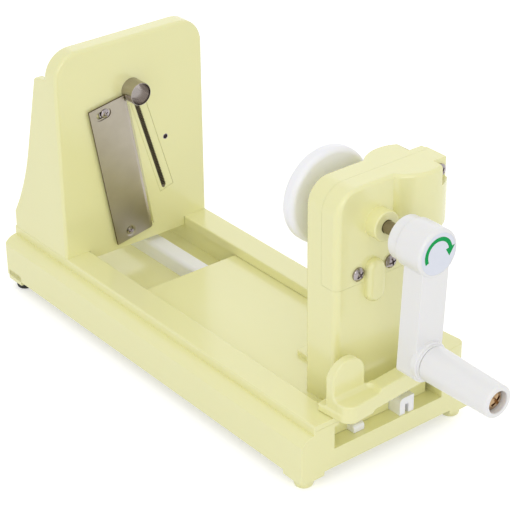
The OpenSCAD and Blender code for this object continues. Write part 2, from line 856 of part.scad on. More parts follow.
// The column's outer form, or its inside when drawn with an inset
module column_form(inset) {
    low_z = inset > 0 ? plate_top_z - over : plate_top_z;
    x0 = column_x0 + inset;
    x1 = column_x1 - inset;
    hw = column_hw - inset;
    top = column_top_z - inset;
    union() {
        intersection() {
            along_x(x0, x1) arch_rect([-hw, low_z], [hw, top], column_corner_r - inset);
            translate([0, 0, low_z - over]) linear_extrude(top - low_z + 2*over)
                column_plan(x0, x1, hw, plan_rear_r - min(inset, plan_rear_r - 0.1), plan_r - inset);
            along_y(-hw - over, hw + over) arch_rect([x0, low_z - over], [x1, top], top_r - inset);
        }
        translate([0, 0, barrel_z + inset]) linear_extrude(top - barrel_z - inset) barrel_plan(inset);
    }
}

// The round housing in plan: one arc behind the column, a flatter one in front
module barrel_plan(inset) {
    front_flat_y = inset > 0 ? barrel_flat_y - inset : lug_y;
    intersection() {
        translate([barrel_x, barrel_y]) circle(r = barrel_r - inset, $fn = 96);
        translate([barrel_x - barrel_r, barrel_y - barrel_r])
            square([barrel_front_x - barrel_x + barrel_r, barrel_flat_y - inset - barrel_y + barrel_r]);
    }
    intersection() {
        translate([barrel_front_x, barrel_front_y]) circle(r = barrel_front_r - inset, $fn = 96);
        translate([barrel_front_x - over, barrel_front_y - barrel_front_r])
            square([barrel_front_r + over, front_flat_y - barrel_front_y + barrel_front_r]);
    }
}

module lug_form() {
    translate([lug_x0, barrel_flat_y - wall, barrel_z])
        cube([lug_x1 - lug_x0, lug_y - barrel_flat_y + wall, column_top_z - barrel_z]);
}

// The space taken by the front cover: ahead of the parting plane and above the joint
module cover_space(gap) {
    translate([part_x + gap, -column_w_reach, joint_z + gap])
        cube([column_w_reach, 2*column_w_reach, column_h]);
}

column_w_reach = 80;
seam = 0.1;
flare_t = 0.8;

module ridge_outline(w) {
    low = joint_z - ridge_low;
    round_rect([ridge_y - w/2, low], [ridge_y + w/2, low + ridge_len], w/2 - 0.01);
}

// Screw posts of the cover: the two lower ones and the one in the lug
module at_cover_screws() {
    for (s = [-1, 1])
        translate([0, cover_mid_y + s*cover_screw_y, cover_screw_z]) children();
}

module at_lug_screw() {
    translate([0, lug_screw_y, lug_screw_z]) children();
}

module carriage_column() {
    color(cream) difference() {
        union() {
            difference() {
                union() {
                    difference() {
                        column_form(0);
                        column_form(wall);
                    }
                    lug_form();
                }
                cover_space(0);
            }
            // Rear boss and inner seat of the rear bush
            at_axis() rod_x(rear_boss_x, column_x0 + wall + bush_len, boss_r);
            at_cover_screws() rod_x(column_x0 + over, part_x, post_r);
            // Ribs that take the screws from below
            for (s = [-1, 1])
                translate([column_x0 + over, s > 0 ? column_screw_y - post_r : -column_hw + over,
                    plate_top_z])
                    cube([column_d - 2*over, column_hw - column_screw_y + post_r - over, rib_h]);
            // Foot tongue on the slide plate
            translate([0, 0, plate_top_z]) linear_extrude(tongue_t)
                round_rect([column_x0 - tongue_len, -tongue_hw], [column_x0 + wall, tongue_hw], 2.5);
            // Lower half of the grip ridge
            intersection() {
                along_x(column_x1 - over, column_x1 + ridge_t) ridge_outline(ridge_w + ridge_step);
                translate([column_x1 - over, ridge_y - ridge_w, plate_top_z])
                    cube([ridge_t + 2*over, 2*ridge_w, joint_z - plate_top_z]);
            }
        }
        at_axis() rod_x(rear_boss_x - over, column_x1, shaft_r + shaft_gap);
        at_axis() rod_x(column_x0 + wall, column_x1, shaft_r + bush_wall + fit);
        at_cover_screws() rod_x(column_x0 + wall, column_x1, screw_r + fit);
        at_lug_screw() rod_x(lug_x0 + 3, lug_x1 + over, screw_r + fit);
        for (s = [-1, 1])
            translate([column_screw_x, s*column_screw_y, plate_top_z - over])
                cylinder(h = rib_h - 1, r = screw_r + fit);
        translate([tongue_screw_x, 0, plate_top_z - over]) cylinder(h = tongue_t + 2*over, r = screw_r + fit);
    }
}

module front_cover() {
    color(cream) difference() {
        union() {
            intersection() {
                union() {
                    difference() {
                        column_form(0);
                        column_form(wall);
                    }
                    lug_form();
                }
                cover_space(seam);
            }
            // Front boss with a flared foot, and the inner seat of the front bush
            at_axis() rod_x(part_x + seam, column_x1 + boss_len, boss_r);
            at_axis() cone_x(column_x1 - over, column_x1 + flare_t, boss_r + flare_t + over, boss_r);
            at_cover_screws() rod_x(part_x + seam, column_x1 - over, post_r);
            intersection() {
                along_x(column_x1 - over, column_x1 + ridge_t - ridge_step/2) ridge_outline(ridge_w);
                translate([column_x1 - over, ridge_y - ridge_w, joint_z + seam])
                    cube([ridge_t + 2*over, 2*ridge_w, ridge_len]);
            }
        }
        at_axis() rod_x(part_x, column_x1 + boss_len + over, shaft_r + shaft_gap);
        at_axis() rod_x(part_x, part_x + seam + bush_len, shaft_r + bush_wall + fit);
        at_cover_screws() rod_x(part_x, column_x1 + over, screw_r + fit);
        at_lug_screw() rod_x(part_x, lug_x1 + over, screw_r + fit);
        // Way for the driver in front of the lug's screw
        translate([lug_x1, barrel_flat_y, lug_screw_z - driver_drop])
            cube([barrel_front_r, lug_y - barrel_flat_y + over, driver_drop + lug_screw_drop + over]);
    }
}

module cover_screws() {
    color(steel) {
        at_cover_screws() translate([column_x1, 0, 0]) to_rear()
            pan_screw(screw_r, column_d - wall - 1, screw_head_r, screw_head_h);
        at_lug_screw() translate([lug_x1, 0, 0]) to_rear()
            pan_screw(screw_r, lug_x1 - lug_x0 - 4, screw_head_r, screw_head_h);
    }
}

module column_screws() {
    seat = block_low_z + head_pocket_d;
    color(steel) for (s = [-1, 1])
        translate([column_screw_x, s*column_screw_y, seat]) mirror([0, 0, 1])
            pan_screw(screw_r, plate_top_z - seat + rib_h - 4, screw_head_r, screw_head_h);
}

module tongue_screw() {
    color(steel) translate([tongue_screw_x, 0, plate_top_z + tongue_t])
        pan_screw(screw_r, plate_top_z + tongue_t - block_low_z - 3, screw_head_r, screw_head_h);
}

module bush(x0) {
    difference() {
        rod_x(x0, x0 + bush_len - seam, shaft_r + bush_wall);
        rod_x(x0 - over, x0 + bush_len + over, shaft_r + run_gap);
    }
}

module front_bush() {
    color(white) at_axis() bush(part_x + seam);
}

module rear_bush() {
    color(white) at_axis() bush(column_x0 + wall);
}

// Release lever

module lever_pin() {
    color(steel) translate([pivot_x, pivot_y, shelf_top_z - shelf_t])
        cylinder(h = lever_z + flange_t + 0.6 - shelf_top_z + shelf_t, r = pivot_r);
}

// The lever's own frame: x ahead of the base's front, y along the bar, turned at the pivot
module in_lever_frame() {
    translate([pivot_x, pivot_y, 0]) rotate([0, 0, bar_angle])
        translate([-pivot_x, -pivot_y, 0]) translate([front_x, 0, 0]) children();
}

// The bar in plan: a round nose at the near end and a wider block at the far end
module lever_plan() {
    nose_r = 6.5;
    end_r = 5;
    bar_x0 = bar_mid_x - bar_d/2;
    bar_x1 = bar_mid_x + bar_d/2;
    difference() {
        union() {
            translate([bar_x0, lever_near_y]) square([bar_d, lever_far_y - lever_near_y]);
            translate([bar_x1 - end_block_d, lever_far_y - end_block_w]) square([end_block_d, end_block_w]);
        }
        corner_cut([bar_x1, lever_near_y], nose_r, -1);
        corner_cut([bar_x1, lever_far_y], end_r, 1);
    }
}

// What is taken off to round a front corner of the bar
module corner_cut(corner, r, side) {
    difference() {
        translate([corner[0] - r, side < 0 ? corner[1] - over : corner[1] - r]) square([r + over, r + over]);
        translate([corner[0] - r, corner[1] - side*r]) circle(r = r);
    }
}

bar_mid_x = 1.1;
end_block_d = 22;
end_block_w = 17;
ear_w = 16;
ear_margin = 5;

// Outline of a hollow open on three sides, with a round lower corner
module hollow_corner(r, w, h) {
    union() {
        translate([r, 0]) square([w - r, h]);
        translate([0, r]) square([w, h - r]);
        translate([r, r]) circle(r = r);
    }
}

module release_lever() {
    flange_x0 = -18.9;
    flange_over = 0.4;
    tab_x1 = front_x;
    tab_x0 = tab_x1 - tab_t;
    tab_r = tab_w/2;
    tab_y = lever_near_y + tab_r;
    fill_d = 3.5;
    step_h = 1.8;
    step_back = 3.4;
    scoop_d = 3;
    scoop_z = bar_top_z - scoop_d;
    scoop_y1 = lever_near_y + tab_w + 4.1;
    color(cream) difference() {
        union() {
            in_lever_frame() union() {
                difference() {
                    translate([0, 0, lever_z]) linear_extrude(bar_h) lever_plan();
                    // Raised underside beyond the tab
                    translate([bar_mid_x - 2*bar_d, lever_near_y + tab_w - step_back, lever_z - over])
                        cube([3*bar_d, lever_far_y - lever_near_y, step_h + over]);
                }
                // Flange that rides on the near rail
                translate([0, 0, lever_z]) linear_extrude(flange_t)
                    round_rect([flange_x0, lever_near_y - flange_over], [bar_mid_x, -column_hw - 2], 2);
                // Ear round the pivot pin
                translate([pivot_x - front_x - ear_margin, pivot_y - ear_w/2, lever_z])
                    cube([bar_mid_x - pivot_x + front_x + ear_margin, ear_w, flange_t]);
            }
            // Thumb tab: an upright plate with a round top, square to the base, and its foot
            translate([tab_x0, lever_near_y, lever_z]) cube([tab_t, tab_w, tab_h - tab_r]);
            translate([0, tab_y, lever_z + tab_h - tab_r]) rod_x(tab_x0, tab_x1, tab_r);
            translate([tab_x1 - over, lever_near_y, lever_z])
                cube([fill_d + over, tab_w, bar_h]);
        }
        // Thumb scoop in front of the tab
        intersection() {
            along_y(lever_near_y - bar_d, scoop_y1)
                translate([tab_x1, scoop_z]) hollow_corner(scoop_r, 2*bar_d, tab_h);
            along_x(tab_x1 - over, tab_x1 + 2*bar_d)
                translate([scoop_y1, scoop_z]) mirror([1, 0]) hollow_corner(scoop_r, tab_w + 2*bar_d, tab_h);
        }
        translate([pivot_x, pivot_y, lever_z - over])
            cylinder(h = flange_t + 2*over, r = pivot_r + run_gap);
    }
}

// Shaft and disc

module drive_shaft() {
    color(steel) at_axis() difference() {
        rod_x(shaft_x0, shaft_x1, shaft_r);
        rod_x(shaft_x0 - over, shaft_x0 + disc_screw_bite, disc_screw_r + fit);
    }
}

disc_screw_r = 2;
disc_screw_bite = 12;
disc_head_r = 4;
disc_head_d = 2.8;

module food_disc() {
    rim_r = 3.5;
    color(white) at_axis() difference() {
        union() {
            rod_x(disc_back_x, disc_front_x - rim_r, disc_r);
            rod_x(disc_back_x, disc_front_x, disc_r - rim_r);
            translate([disc_front_x - rim_r, 0, 0]) rotate([0, 90, 0])
                rotate_extrude($fn = 96) translate([disc_r - rim_r, 0]) circle(r = rim_r);
            rod_x(disc_front_x - over, disc_front_x + disc_hub_len, disc_hub_r);
        }
        rod_x(shaft_x0, column_x0, shaft_r + fit);
        rod_x(disc_back_x - over, shaft_x0 + over, disc_screw_r + 2*fit);
        rod_x(disc_back_x - over, disc_back_x + disc_head_d, disc_head_r + 0.3);
        at_prongs() rod_x(disc_back_x - over, disc_back_x + prong_seat, prong_r + fit);
    }
}

prong_r = 1.3;
prong_seat = 4;
inner_prong_r = 9;
outer_prong_r = 20;

// The places of the prongs: three near the middle and six further out
module at_prongs() {
    for (k = [0:2]) rotate([120*k, 0, 0]) translate([0, 0, inner_prong_r]) children();
    for (k = [0:5]) rotate([60*k + 30, 0, 0]) translate([0, 0, outer_prong_r]) children();
}

module holding_prongs() {
    point = 3;
    color(steel) at_axis() at_prongs() {
        rod_x(disc_back_x - prong_len + point, disc_back_x + prong_seat, prong_r);
        cone_x(disc_back_x - prong_len, disc_back_x - prong_len + point, 0.2, prong_r);
    }
}

module disc_screw() {
    color(steel) at_axis() translate([disc_back_x + disc_head_d, 0, 0]) mirror([1, 0, 0]) to_rear()
        pan_screw(disc_screw_r, disc_wall - disc_head_d + disc_screw_bite - 1,
            disc_head_r, disc_head_d - 0.4);
}

// Crank and grip, drawn about the crank's axis

module in_crank_frame() {
    translate([front_x, 0, axis_z]) rotate([crank_rest, 0, 0]) children();
}

module at_grip_axis() {
    in_crank_frame() translate([0, 0, -crank_r]) children();
}

module crank_arm() {
    edge_r = 2;
    arm_back = arm_front - arm_d;
    arm_r = arm_w/2;
    color(white) difference() {
        in_crank_frame() union() {
            rod_x(hub_back, hub_back + hub_neck_len + over, hub_neck_r);
            rod_x(hub_back + hub_neck_len, hub_front - edge_r, hub_r);
            rod_x(hub_front - edge_r - over, hub_front, hub_r - edge_r);
            translate([hub_front - edge_r, 0, 0]) rotate([0, 90, 0])
                rotate_extrude($fn = 96) translate([hub_r - edge_r, 0]) circle(r = edge_r);
            translate([arm_back, -arm_r, -crank_r]) cube([arm_d, arm_w, crank_r]);
            intersection() {
                translate([0, 0, -crank_r]) rod_x(arm_back, arm_front, arm_end_r);
                translate([arm_back - over, -arm_r, -crank_r - 2*arm_end_r])
                    cube([arm_d + 2*over, arm_w, crank_r + arm_end_r]);
            }
            translate([0, 0, -crank_r]) rod_x(arm_front - over, collar_front, collar_r);
        }
        in_crank_frame() {
            rod_x(hub_back - over, shaft_x1 - front_x + fit, shaft_r + fit);
            rod_x(hub_front - label_t, hub_front + over, label_r + fit);
            translate([grub_x - front_x, 0, 0]) rotate([-90, 0, 0])
                cylinder(h = hub_neck_r + over, r = grub_r + fit);
        }
        at_grip_axis() rod_x(collar_front - axle_bite, collar_front + over, axle_r + fit);
    }
}

module hub_label() {
    color(pale_blue) in_crank_frame() rod_x(hub_front - label_t, hub_front - fit, label_r);
}

module hub_grub_screw() {
    color(steel) in_crank_frame() translate([grub_x - front_x, 0, 0]) rotate([-90, 0, 0]) difference() {
        translate([0, 0, shaft_r + fit]) cylinder(h = hub_neck_r - shaft_r - 1, r = grub_r);
        translate([0, 0, hub_neck_r - 3]) cylinder(h = 4, r = 1.1, $fn = 6);
    }
}

module grip_axle() {
    head_x = grip_end - recess_d + 0.25;
    color(brass) at_grip_axis() difference() {
        union() {
            rod_x(collar_front - axle_bite + fit, head_x + over, axle_r);
            rod_x(head_x, head_x + axle_head_h*0.5, axle_head_r);
            cone_x(head_x + axle_head_h*0.5, head_x + axle_head_h, axle_head_r, axle_head_r*0.6);
        }
        translate([head_x + axle_head_h, 0, 0]) to_rear() cross_cut(axle_head_r*0.5, 1.8);
    }
}

module grip_sleeve() {
    edge_r = 1.5;
    color(white) at_grip_axis() difference() {
        union() {
            cone_x(grip_back, grip_end - edge_r, grip_root_r, grip_end_r);
            rod_x(grip_end - edge_r - over, grip_end, grip_end_r - edge_r);
            translate([grip_end - edge_r, 0, 0]) rotate([0, 90, 0])
                rotate_extrude($fn = 96) translate([grip_end_r - edge_r, 0]) circle(r = edge_r);
        }
        rod_x(grip_back - over, grip_end, axle_r + run_gap);
        rod_x(grip_end - recess_d, grip_end + over, recess_r);
    }
}

base_frame();
front_feet();
rear_feet();
guide_rail();
rail_screws();
blade_stand();
stand_screws();
slicing_blade();
blade_spacers();
upper_blade_screw();
lower_blade_screw();
core_tube();
comb_holder();
comb_blade();
insert_nut();
slide_plate();
slide_block();
slide_shoe();
carriage_column();
front_cover();
cover_screws();
column_screws();
tongue_screw();
front_bush();
rear_bush();
lever_pin();
release_lever();
drive_shaft();
food_disc();
holding_prongs();
disc_screw();
crank_arm();
hub_label();
hub_grub_screw();
grip_axle();
grip_sleeve();
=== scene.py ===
"""Hand cranked turning slicer: the looks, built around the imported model.

Sizes are millimetres from the base's front face (x), its middle (y) and its lower edge (z).
"""

import math

import bpy
from mathutils import Matrix, Vector


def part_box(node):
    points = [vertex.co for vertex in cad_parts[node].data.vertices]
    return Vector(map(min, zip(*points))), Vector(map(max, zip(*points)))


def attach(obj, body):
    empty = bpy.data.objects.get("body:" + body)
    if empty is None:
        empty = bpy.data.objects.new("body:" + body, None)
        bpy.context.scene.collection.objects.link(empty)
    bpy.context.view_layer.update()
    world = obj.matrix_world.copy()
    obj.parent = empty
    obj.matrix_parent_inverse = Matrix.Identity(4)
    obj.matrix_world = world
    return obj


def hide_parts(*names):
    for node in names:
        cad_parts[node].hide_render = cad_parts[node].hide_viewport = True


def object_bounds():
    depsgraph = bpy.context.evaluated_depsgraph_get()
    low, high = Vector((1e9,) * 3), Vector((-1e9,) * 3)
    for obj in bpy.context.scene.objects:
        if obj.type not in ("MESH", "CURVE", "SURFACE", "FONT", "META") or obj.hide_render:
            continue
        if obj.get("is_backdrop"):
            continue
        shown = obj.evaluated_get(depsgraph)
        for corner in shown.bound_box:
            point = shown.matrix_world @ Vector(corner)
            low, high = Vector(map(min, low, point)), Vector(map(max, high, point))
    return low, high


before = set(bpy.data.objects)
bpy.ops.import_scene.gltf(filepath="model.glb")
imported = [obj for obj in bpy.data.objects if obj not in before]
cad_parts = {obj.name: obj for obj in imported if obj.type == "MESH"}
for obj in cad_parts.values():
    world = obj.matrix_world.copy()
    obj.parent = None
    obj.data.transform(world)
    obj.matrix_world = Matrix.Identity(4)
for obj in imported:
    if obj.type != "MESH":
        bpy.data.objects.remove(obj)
cad_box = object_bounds()

MM = 0.001

# Places closer than this many millimetres count as one
SAME = 0.02

# Clearance beside a piece that slides or turns
RUN_GAP = 0.35

# The shaft's line
AXIS_H = 136.8

# Base and rails
BASE_LEN = 308.0
BASE_HALF_W = 65.0
BASE_CORNER = 2.5
RAIL_H = 33.4
RAIL_OUT = 56.2
RAIL_IN = 38.2
FLOOR_H = 12.5
PAD_W = 16.5
PAD_H = 3.0
FOOT_H = 6.0
SEAM_H = 29.7

# Blade stand
STAND_FACE = -246.3
STAND_BACK = -257.9
STAND_H = 172.5
STAND_HALF_W = RAIL_OUT
WING_H = 153.0
WING_RISE = 1.5
WING_T = 5.5
BLADE_LEAN = math.radians(9.6)
BLADE_Y = -11.7
BLADE_MID_H = 83.6
BLADE_W = 28.8
BLADE_LEN = 100.6
BLADE_T = 1.2
BLADE_GAP = 1.2
BLADE_HOLE_U = -3.0
BLADE_HOLE_V = 44.7
BLADE_SLOT_SHIFT = -1.7
BLADE_SLOT_LEN = 12.0
BLADE_RECESS_W = 7.0
BLADE_RECESS_D = 0.5
CORE_R = 7.6
COMB_LEAN = math.radians(16.4)
COMB_HIGH = AXIS_H - 9.3
COMB_SHIFT = 1.7
COMB_W = 11.2
COMB_LEN = 71.7
COMB_SLOT_HALF = 1.5
COMB_T = 2.2
INSERT_Y = 24.9
INSERT_H = 96.5

# Carriage
TRAY_H = 26.75
COLUMN_FACE = -14.5
COLUMN_BACK = -40.3
COLUMN_HALF_W = 29.0
COLUMN_H = 161.2
JOINT_H = 101.8
PART_X = COLUMN_FACE - 12.6
COVER_EDGE = 2.0
COVER_SEAM = 0.12
COVER_MID_Y = -1.3
COVER_SCREW_Y = 11.9
BARREL_Y = 27.6
BARREL_LOW = 119.5
BARREL_FLAT_Y = 39.8
LUG_FACE = COLUMN_FACE + 1.2
LUG_Y = 49.5
LUG_SCREW = ((BARREL_FLAT_Y + LUG_Y) / 2, COLUMN_H - 7.2)

# Release lever
LEVER_LOW = RAIL_H + 0.2
LEVER_PIVOT = (-8.0, 28.0)
LEVER_ANGLE = math.radians(5.3)
TAB_W = 22.8
TAB_Y = -31.0
LEVER_FAR = 54.0

# Shaft and crank
SHAFT_R = 3.8
BOSS_R = 9.0
HUB_BACK = 8.0
HUB_FRONT = HUB_BACK + 26.0
HUB_R = 14.2
ARM_FRONT = HUB_FRONT - 1.0
COLLAR_R = 11.7
COLLAR_LEN = 3.5
CRANK_R = 65.3
CRANK_REST = math.radians(-3.0)
GRIP_LEN = 49.6

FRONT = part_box("base_frame")[1].x
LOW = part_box("base_frame")[1].z - RAIL_H * MM


# Places and selections


def at(x, y, z):
    """A point given in millimetres from the base's front, middle and lower edge."""
    return Vector((FRONT + x * MM, y * MM, LOW + z * MM))


def in_mm(point):
    """The millimetres of a point of a mesh."""
    return Vector(((point.x - FRONT) / MM, point.y / MM, (point.z - LOW) / MM))


def only(piece):
    """Selects one piece alone and makes it the active one."""
    if bpy.context.object is not None and bpy.context.object.mode != "OBJECT":
        bpy.ops.object.mode_set(mode="OBJECT")
    bpy.ops.object.select_all(action="DESELECT")
    piece.select_set(True)
    bpy.context.view_layer.objects.active = piece


def named(name):
    """Names the piece that was just added and settles its place into its mesh."""
    piece = bpy.context.object
    piece.name = name
    piece.data.name = name
    bpy.ops.object.transform_apply(location=True, rotation=True, scale=True)
    return piece


def arc(centre, radius, start, end, steps=8):
    """Points on a round stretch of an outline, from one angle to another in degrees."""
    angles = [math.radians(start + (end - start) * k / steps) for k in range(steps + 1)]
    return [(centre[0] + radius * math.cos(a), centre[1] + radius * math.sin(a)) for a in angles]


# Shaping with edit mode tools


def drawn(name, points):
    """Draws a chain of points with extrude, starting from a small plane merged to a point."""
    bpy.ops.object.select_all(action="DESELECT")
    bpy.ops.mesh.primitive_plane_add(size=MM, location=points[0])
    piece = named(name)
    bpy.ops.object.mode_set(mode="EDIT")
    bpy.ops.mesh.select_mode(type="VERT")
    bpy.ops.mesh.select_all(action="SELECT")
    bpy.ops.mesh.merge(type="CENTER")
    for here, there in zip(points, points[1:]):
        bpy.ops.mesh.extrude_region_move(TRANSFORM_OT_translate={"value": there - here})
    return piece


def solid(name, points, along):
    """Closes a drawn outline, fills it and pulls it out into a solid."""
    piece = drawn(name, points + points[:1])
    bpy.ops.mesh.select_all(action="SELECT")
    bpy.ops.mesh.remove_doubles(threshold=MM * 0.001)
    bpy.ops.mesh.edge_face_add()
    bpy.ops.mesh.extrude_region_move(TRANSFORM_OT_translate={"value": Vector(along) * MM})
    bpy.ops.mesh.select_all(action="SELECT")
    bpy.ops.mesh.normals_make_consistent(inside=False)
    bpy.ops.object.mode_set(mode="OBJECT")
    return piece


def pulled(name, outline, x, depth):
    """Pulls an outline of (y, z) points out along x."""
    return solid(name, [at(x, y, z) for y, z in outline], (depth, 0, 0))


def raised(name, outline, z, height):
    """Pulls an outline of (x, y) points up."""
    return solid(name, [at(x, y, z) for x, y in outline], (0, 0, height))


def turned(name, profile, y, z, steps=96):
    """Spins a profile of (x, radius) points about an axis along x."""
    piece = drawn(name, [at(x, y, z + r) for x, r in profile])
    bpy.ops.mesh.select_all(action="SELECT")
    bpy.ops.mesh.spin(steps=steps, angle=math.tau, center=at(0, y, z), axis=(1, 0, 0))
    bpy.ops.mesh.select_all(action="SELECT")
    bpy.ops.mesh.remove_doubles(threshold=MM * 0.002)
    bpy.ops.mesh.normals_make_consistent(inside=False)
    bpy.ops.object.mode_set(mode="OBJECT")
    return piece


def block(name, low, high):
    """A box from corner to corner."""
    bpy.ops.object.select_all(action="DESELECT")
    size = [(b - a) * MM for a, b in zip(low, high)]
    middle = at(*[(a + b) / 2 for a, b in zip(low, high)])
    bpy.ops.mesh.primitive_cube_add(size=1, location=middle, scale=size)
    return named(name)


def bar(name, start, end, radius, sides=64):
    """A round bar between two points."""
    bpy.ops.object.select_all(action="DESELECT")
    a, b = at(*start), at(*end)
    turn = (b - a).to_track_quat("Z", "Y").to_euler()
    bpy.ops.mesh.primitive_cylinder_add(
        vertices=sides, radius=radius * MM, depth=(b - a).length, location=(a + b) / 2, rotation=turn
    )
    return named(name)


def rod(name, x0, x1, y, z, radius, sides=64):
    """A round bar along x."""
    return bar(name, (x0, y, z), (x1, y, z), radius, sides)


def round_edges(piece, wanted, radius, steps=4):
    """Bevels the edges whose two ends, in millimetres, are wanted."""
    only(piece)
    bpy.ops.object.mode_set(mode="EDIT")
    bpy.ops.mesh.select_mode(type="EDGE")
    bpy.ops.mesh.select_all(action="DESELECT")
    bpy.ops.object.mode_set(mode="OBJECT")
    points = [in_mm(v.co) for v in piece.data.vertices]
    for edge in piece.data.edges:
        edge.select = bool(wanted(points[edge.vertices[0]], points[edge.vertices[1]]))
    bpy.ops.object.mode_set(mode="EDIT")
    bpy.ops.mesh.bevel(offset=radius * MM, segments=steps, profile=0.5, clamp_overlap=True)
    bpy.ops.object.mode_set(mode="OBJECT")
    return piece


def round_by_height(piece, wanted, widths, heights, steps):
    """Bevels the wanted edges by a width that goes from one value to another with their height."""
    only(piece)
    weight = piece.data.attributes.new("bevel_weight_edge", "FLOAT", "EDGE")
    points = [in_mm(v.co) for v in piece.data.vertices]
    for edge in piece.data.edges:
        a, b = (points[i] for i in edge.vertices)
        share = ((a.z + b.z) / 2 - heights[0]) / (heights[1] - heights[0])
        share = min(max(share, 0.0), 1.0)
        width = widths[0] + (widths[1] - widths[0]) * share
        weight.data[edge.index].value = width / max(widths) if wanted(a, b) else 0.0
    bpy.ops.object.modifier_add(type="BEVEL")
    bevel = piece.modifiers[-1]
    bevel.limit_method = "WEIGHT"
    bevel.width = max(widths) * MM
    bevel.segments = steps
    bpy.ops.object.modifier_apply(modifier=bevel.name)
    return piece


def on_plane(axis, value):
    """A test for edges that lie in a plane across x, y or z."""
    return lambda a, b: abs(a[axis] - value) < SAME and abs(b[axis] - value) < SAME


def joined(piece, *others, way="UNION"):
    """Joins, cuts or trims a piece with others, which are used up."""
    for other in others:
        only(piece)
        bpy.ops.object.modifier_add(type="BOOLEAN")
        tool = piece.modifiers[-1]
        tool.operation = way
        tool.solver = "EXACT"
        tool.object = other
        bpy.ops.object.modifier_apply(modifier=tool.name)
        bpy.data.objects.remove(other)
    return piece


def cut(piece, *others):
    """Cuts others out of a piece."""
    return joined(piece, *others, way="DIFFERENCE")


def together(name, pieces):
    """Puts separate solids into one piece."""
    only(pieces[0])
    for other in pieces[1:]:
        other.select_set(True)
    bpy.ops.object.join()
    return named(name)


def copied(piece, name):
    """A copy of a piece with its own mesh."""
    only(piece)
    bpy.ops.object.duplicate()
    twin = bpy.context.object
    twin.name = name
    twin.data.name = name
    return twin


def turn_piece(piece, angle, axis, centre):
    """Turns a piece's mesh about a line."""
    place = Matrix.Translation(centre)
    piece.data.transform(place @ Matrix.Rotation(angle, 4, axis) @ place.inverted())
    return piece


def finished(piece, finish, body, nodes, angle=32):
    """Shades a piece, gives it its finish and sets it on its body in place of CAD nodes."""
    only(piece)
    bpy.ops.object.shade_smooth_by_angle(angle=math.radians(angle))
    bpy.ops.object.modifier_add(type="WEIGHTED_NORMAL")
    piece.modifiers[-1].keep_sharp = True
    bpy.ops.object.modifier_apply(modifier=piece.modifiers[-1].name)
    piece.data.materials.clear()
    piece.data.materials.append(finish)
    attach(piece, body)
    if nodes:
        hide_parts(*nodes)
    return piece


# Finishes


def new_finish(name, colour, roughness, metallic=0.0):
    """A finish with its main shader set, and the node tree to add detail to."""
    finish = bpy.data.materials.new(name)
    finish.use_nodes = True
    shader = finish.node_tree.nodes["Principled BSDF"]
    shader.inputs["Base Color"].default_value = (*colour, 1)
    shader.inputs["Roughness"].default_value = roughness
    shader.inputs["Metallic"].default_value = metallic
    return finish, finish.node_tree, shader


def noise(tree, scale, detail, stretch=(1, 1, 1)):
    """A noise pattern in the object's own metres."""
    place = tree.nodes.new("ShaderNodeTexCoord")
    mapping = tree.nodes.new("ShaderNodeMapping")
    pattern = tree.nodes.new("ShaderNodeTexNoise")
    mapping.inputs["Scale"].default_value = stretch
    pattern.inputs["Scale"].default_value = scale
    pattern.inputs["Detail"].default_value = detail
    tree.links.new(place.outputs["Object"], mapping.inputs["Vector"])
    tree.links.new(mapping.outputs["Vector"], pattern.inputs["Vector"])
    return pattern.outputs["Fac"]


def spread(tree, value, low, high):
    """Maps the middle of a noise pattern to a range."""
    node = tree.nodes.new("ShaderNodeMapRange")
    node.inputs["From Min"].default_value = 0.3
    node.inputs["From Max"].default_value = 0.7
    node.inputs["To Min"].default_value = low
    node.inputs["To Max"].default_value = high
    tree.links.new(value, node.inputs["Value"])
    return node.outputs["Result"]


def tinted(tree, shader, value, light, dark):
    """Lets the colour drift between two shades."""
    share = spread(tree, value, 0.0, 1.0)
    blend = tree.nodes.new("ShaderNodeMix")
    blend.data_type = "RGBA"
    first, second, result = blend.inputs[6], blend.inputs[7], blend.outputs[2]
    first.default_value = (*light, 1)
    second.default_value = (*dark, 1)
    tree.links.new(share, blend.inputs[0])
    tree.links.new(result, shader.inputs["Base Color"])


def hazed(tree, shader, value, low, high):
    """Lets the gloss drift between two values."""
    tree.links.new(spread(tree, value, low, high), shader.inputs["Roughness"])


def grained(tree, shader, value, strength, distance):
    """A fine relief."""
    bump = tree.nodes.new("ShaderNodeBump")
    bump.inputs["Strength"].default_value = strength
    bump.inputs["Distance"].default_value = distance
    tree.links.new(value, bump.inputs["Height"])
    tree.links.new(bump.outputs["Normal"], shader.inputs["Normal"])


def moulded_plastic(name, light, dark, rough_low, rough_high):
    """Glossy moulding with faint flow marks and a fine grain."""
    finish, tree, shader = new_finish(name, light, rough_low)
    flow = noise(tree, scale=22, detail=3, stretch=(1, 1, 0.35))
    tinted(tree, shader, flow, light, dark)
    haze = noise(tree, scale=140, detail=4)
    hazed(tree, shader, haze, rough_low, rough_high)
    grain = noise(tree, scale=2600, detail=2)
    grained(tree, shader, grain, strength=0.02, distance=0.00002)
    shader.inputs["Specular IOR Level"].default_value = 0.9
    shader.inputs["Subsurface Weight"].default_value = 0.08
    shader.inputs["Subsurface Radius"].default_value = (1.0, 0.8, 0.35)
    shader.inputs["Subsurface Scale"].default_value = 0.002
    return finish


def satin_steel(name, light, dark, rough_low, rough_high):
    """Smooth bare steel whose tone and gloss drift a little from place to place."""
    finish, tree, shader = new_finish(name, light, rough_low, 1.0)
    cloud = noise(tree, scale=60, detail=3)
    tinted(tree, shader, cloud, light, dark)
    haze = noise(tree, scale=420, detail=3)
    hazed(tree, shader, haze, rough_low, rough_high)
    grain = noise(tree, scale=3000, detail=2)
    grained(tree, shader, grain, strength=0.02, distance=0.00001)
    return finish


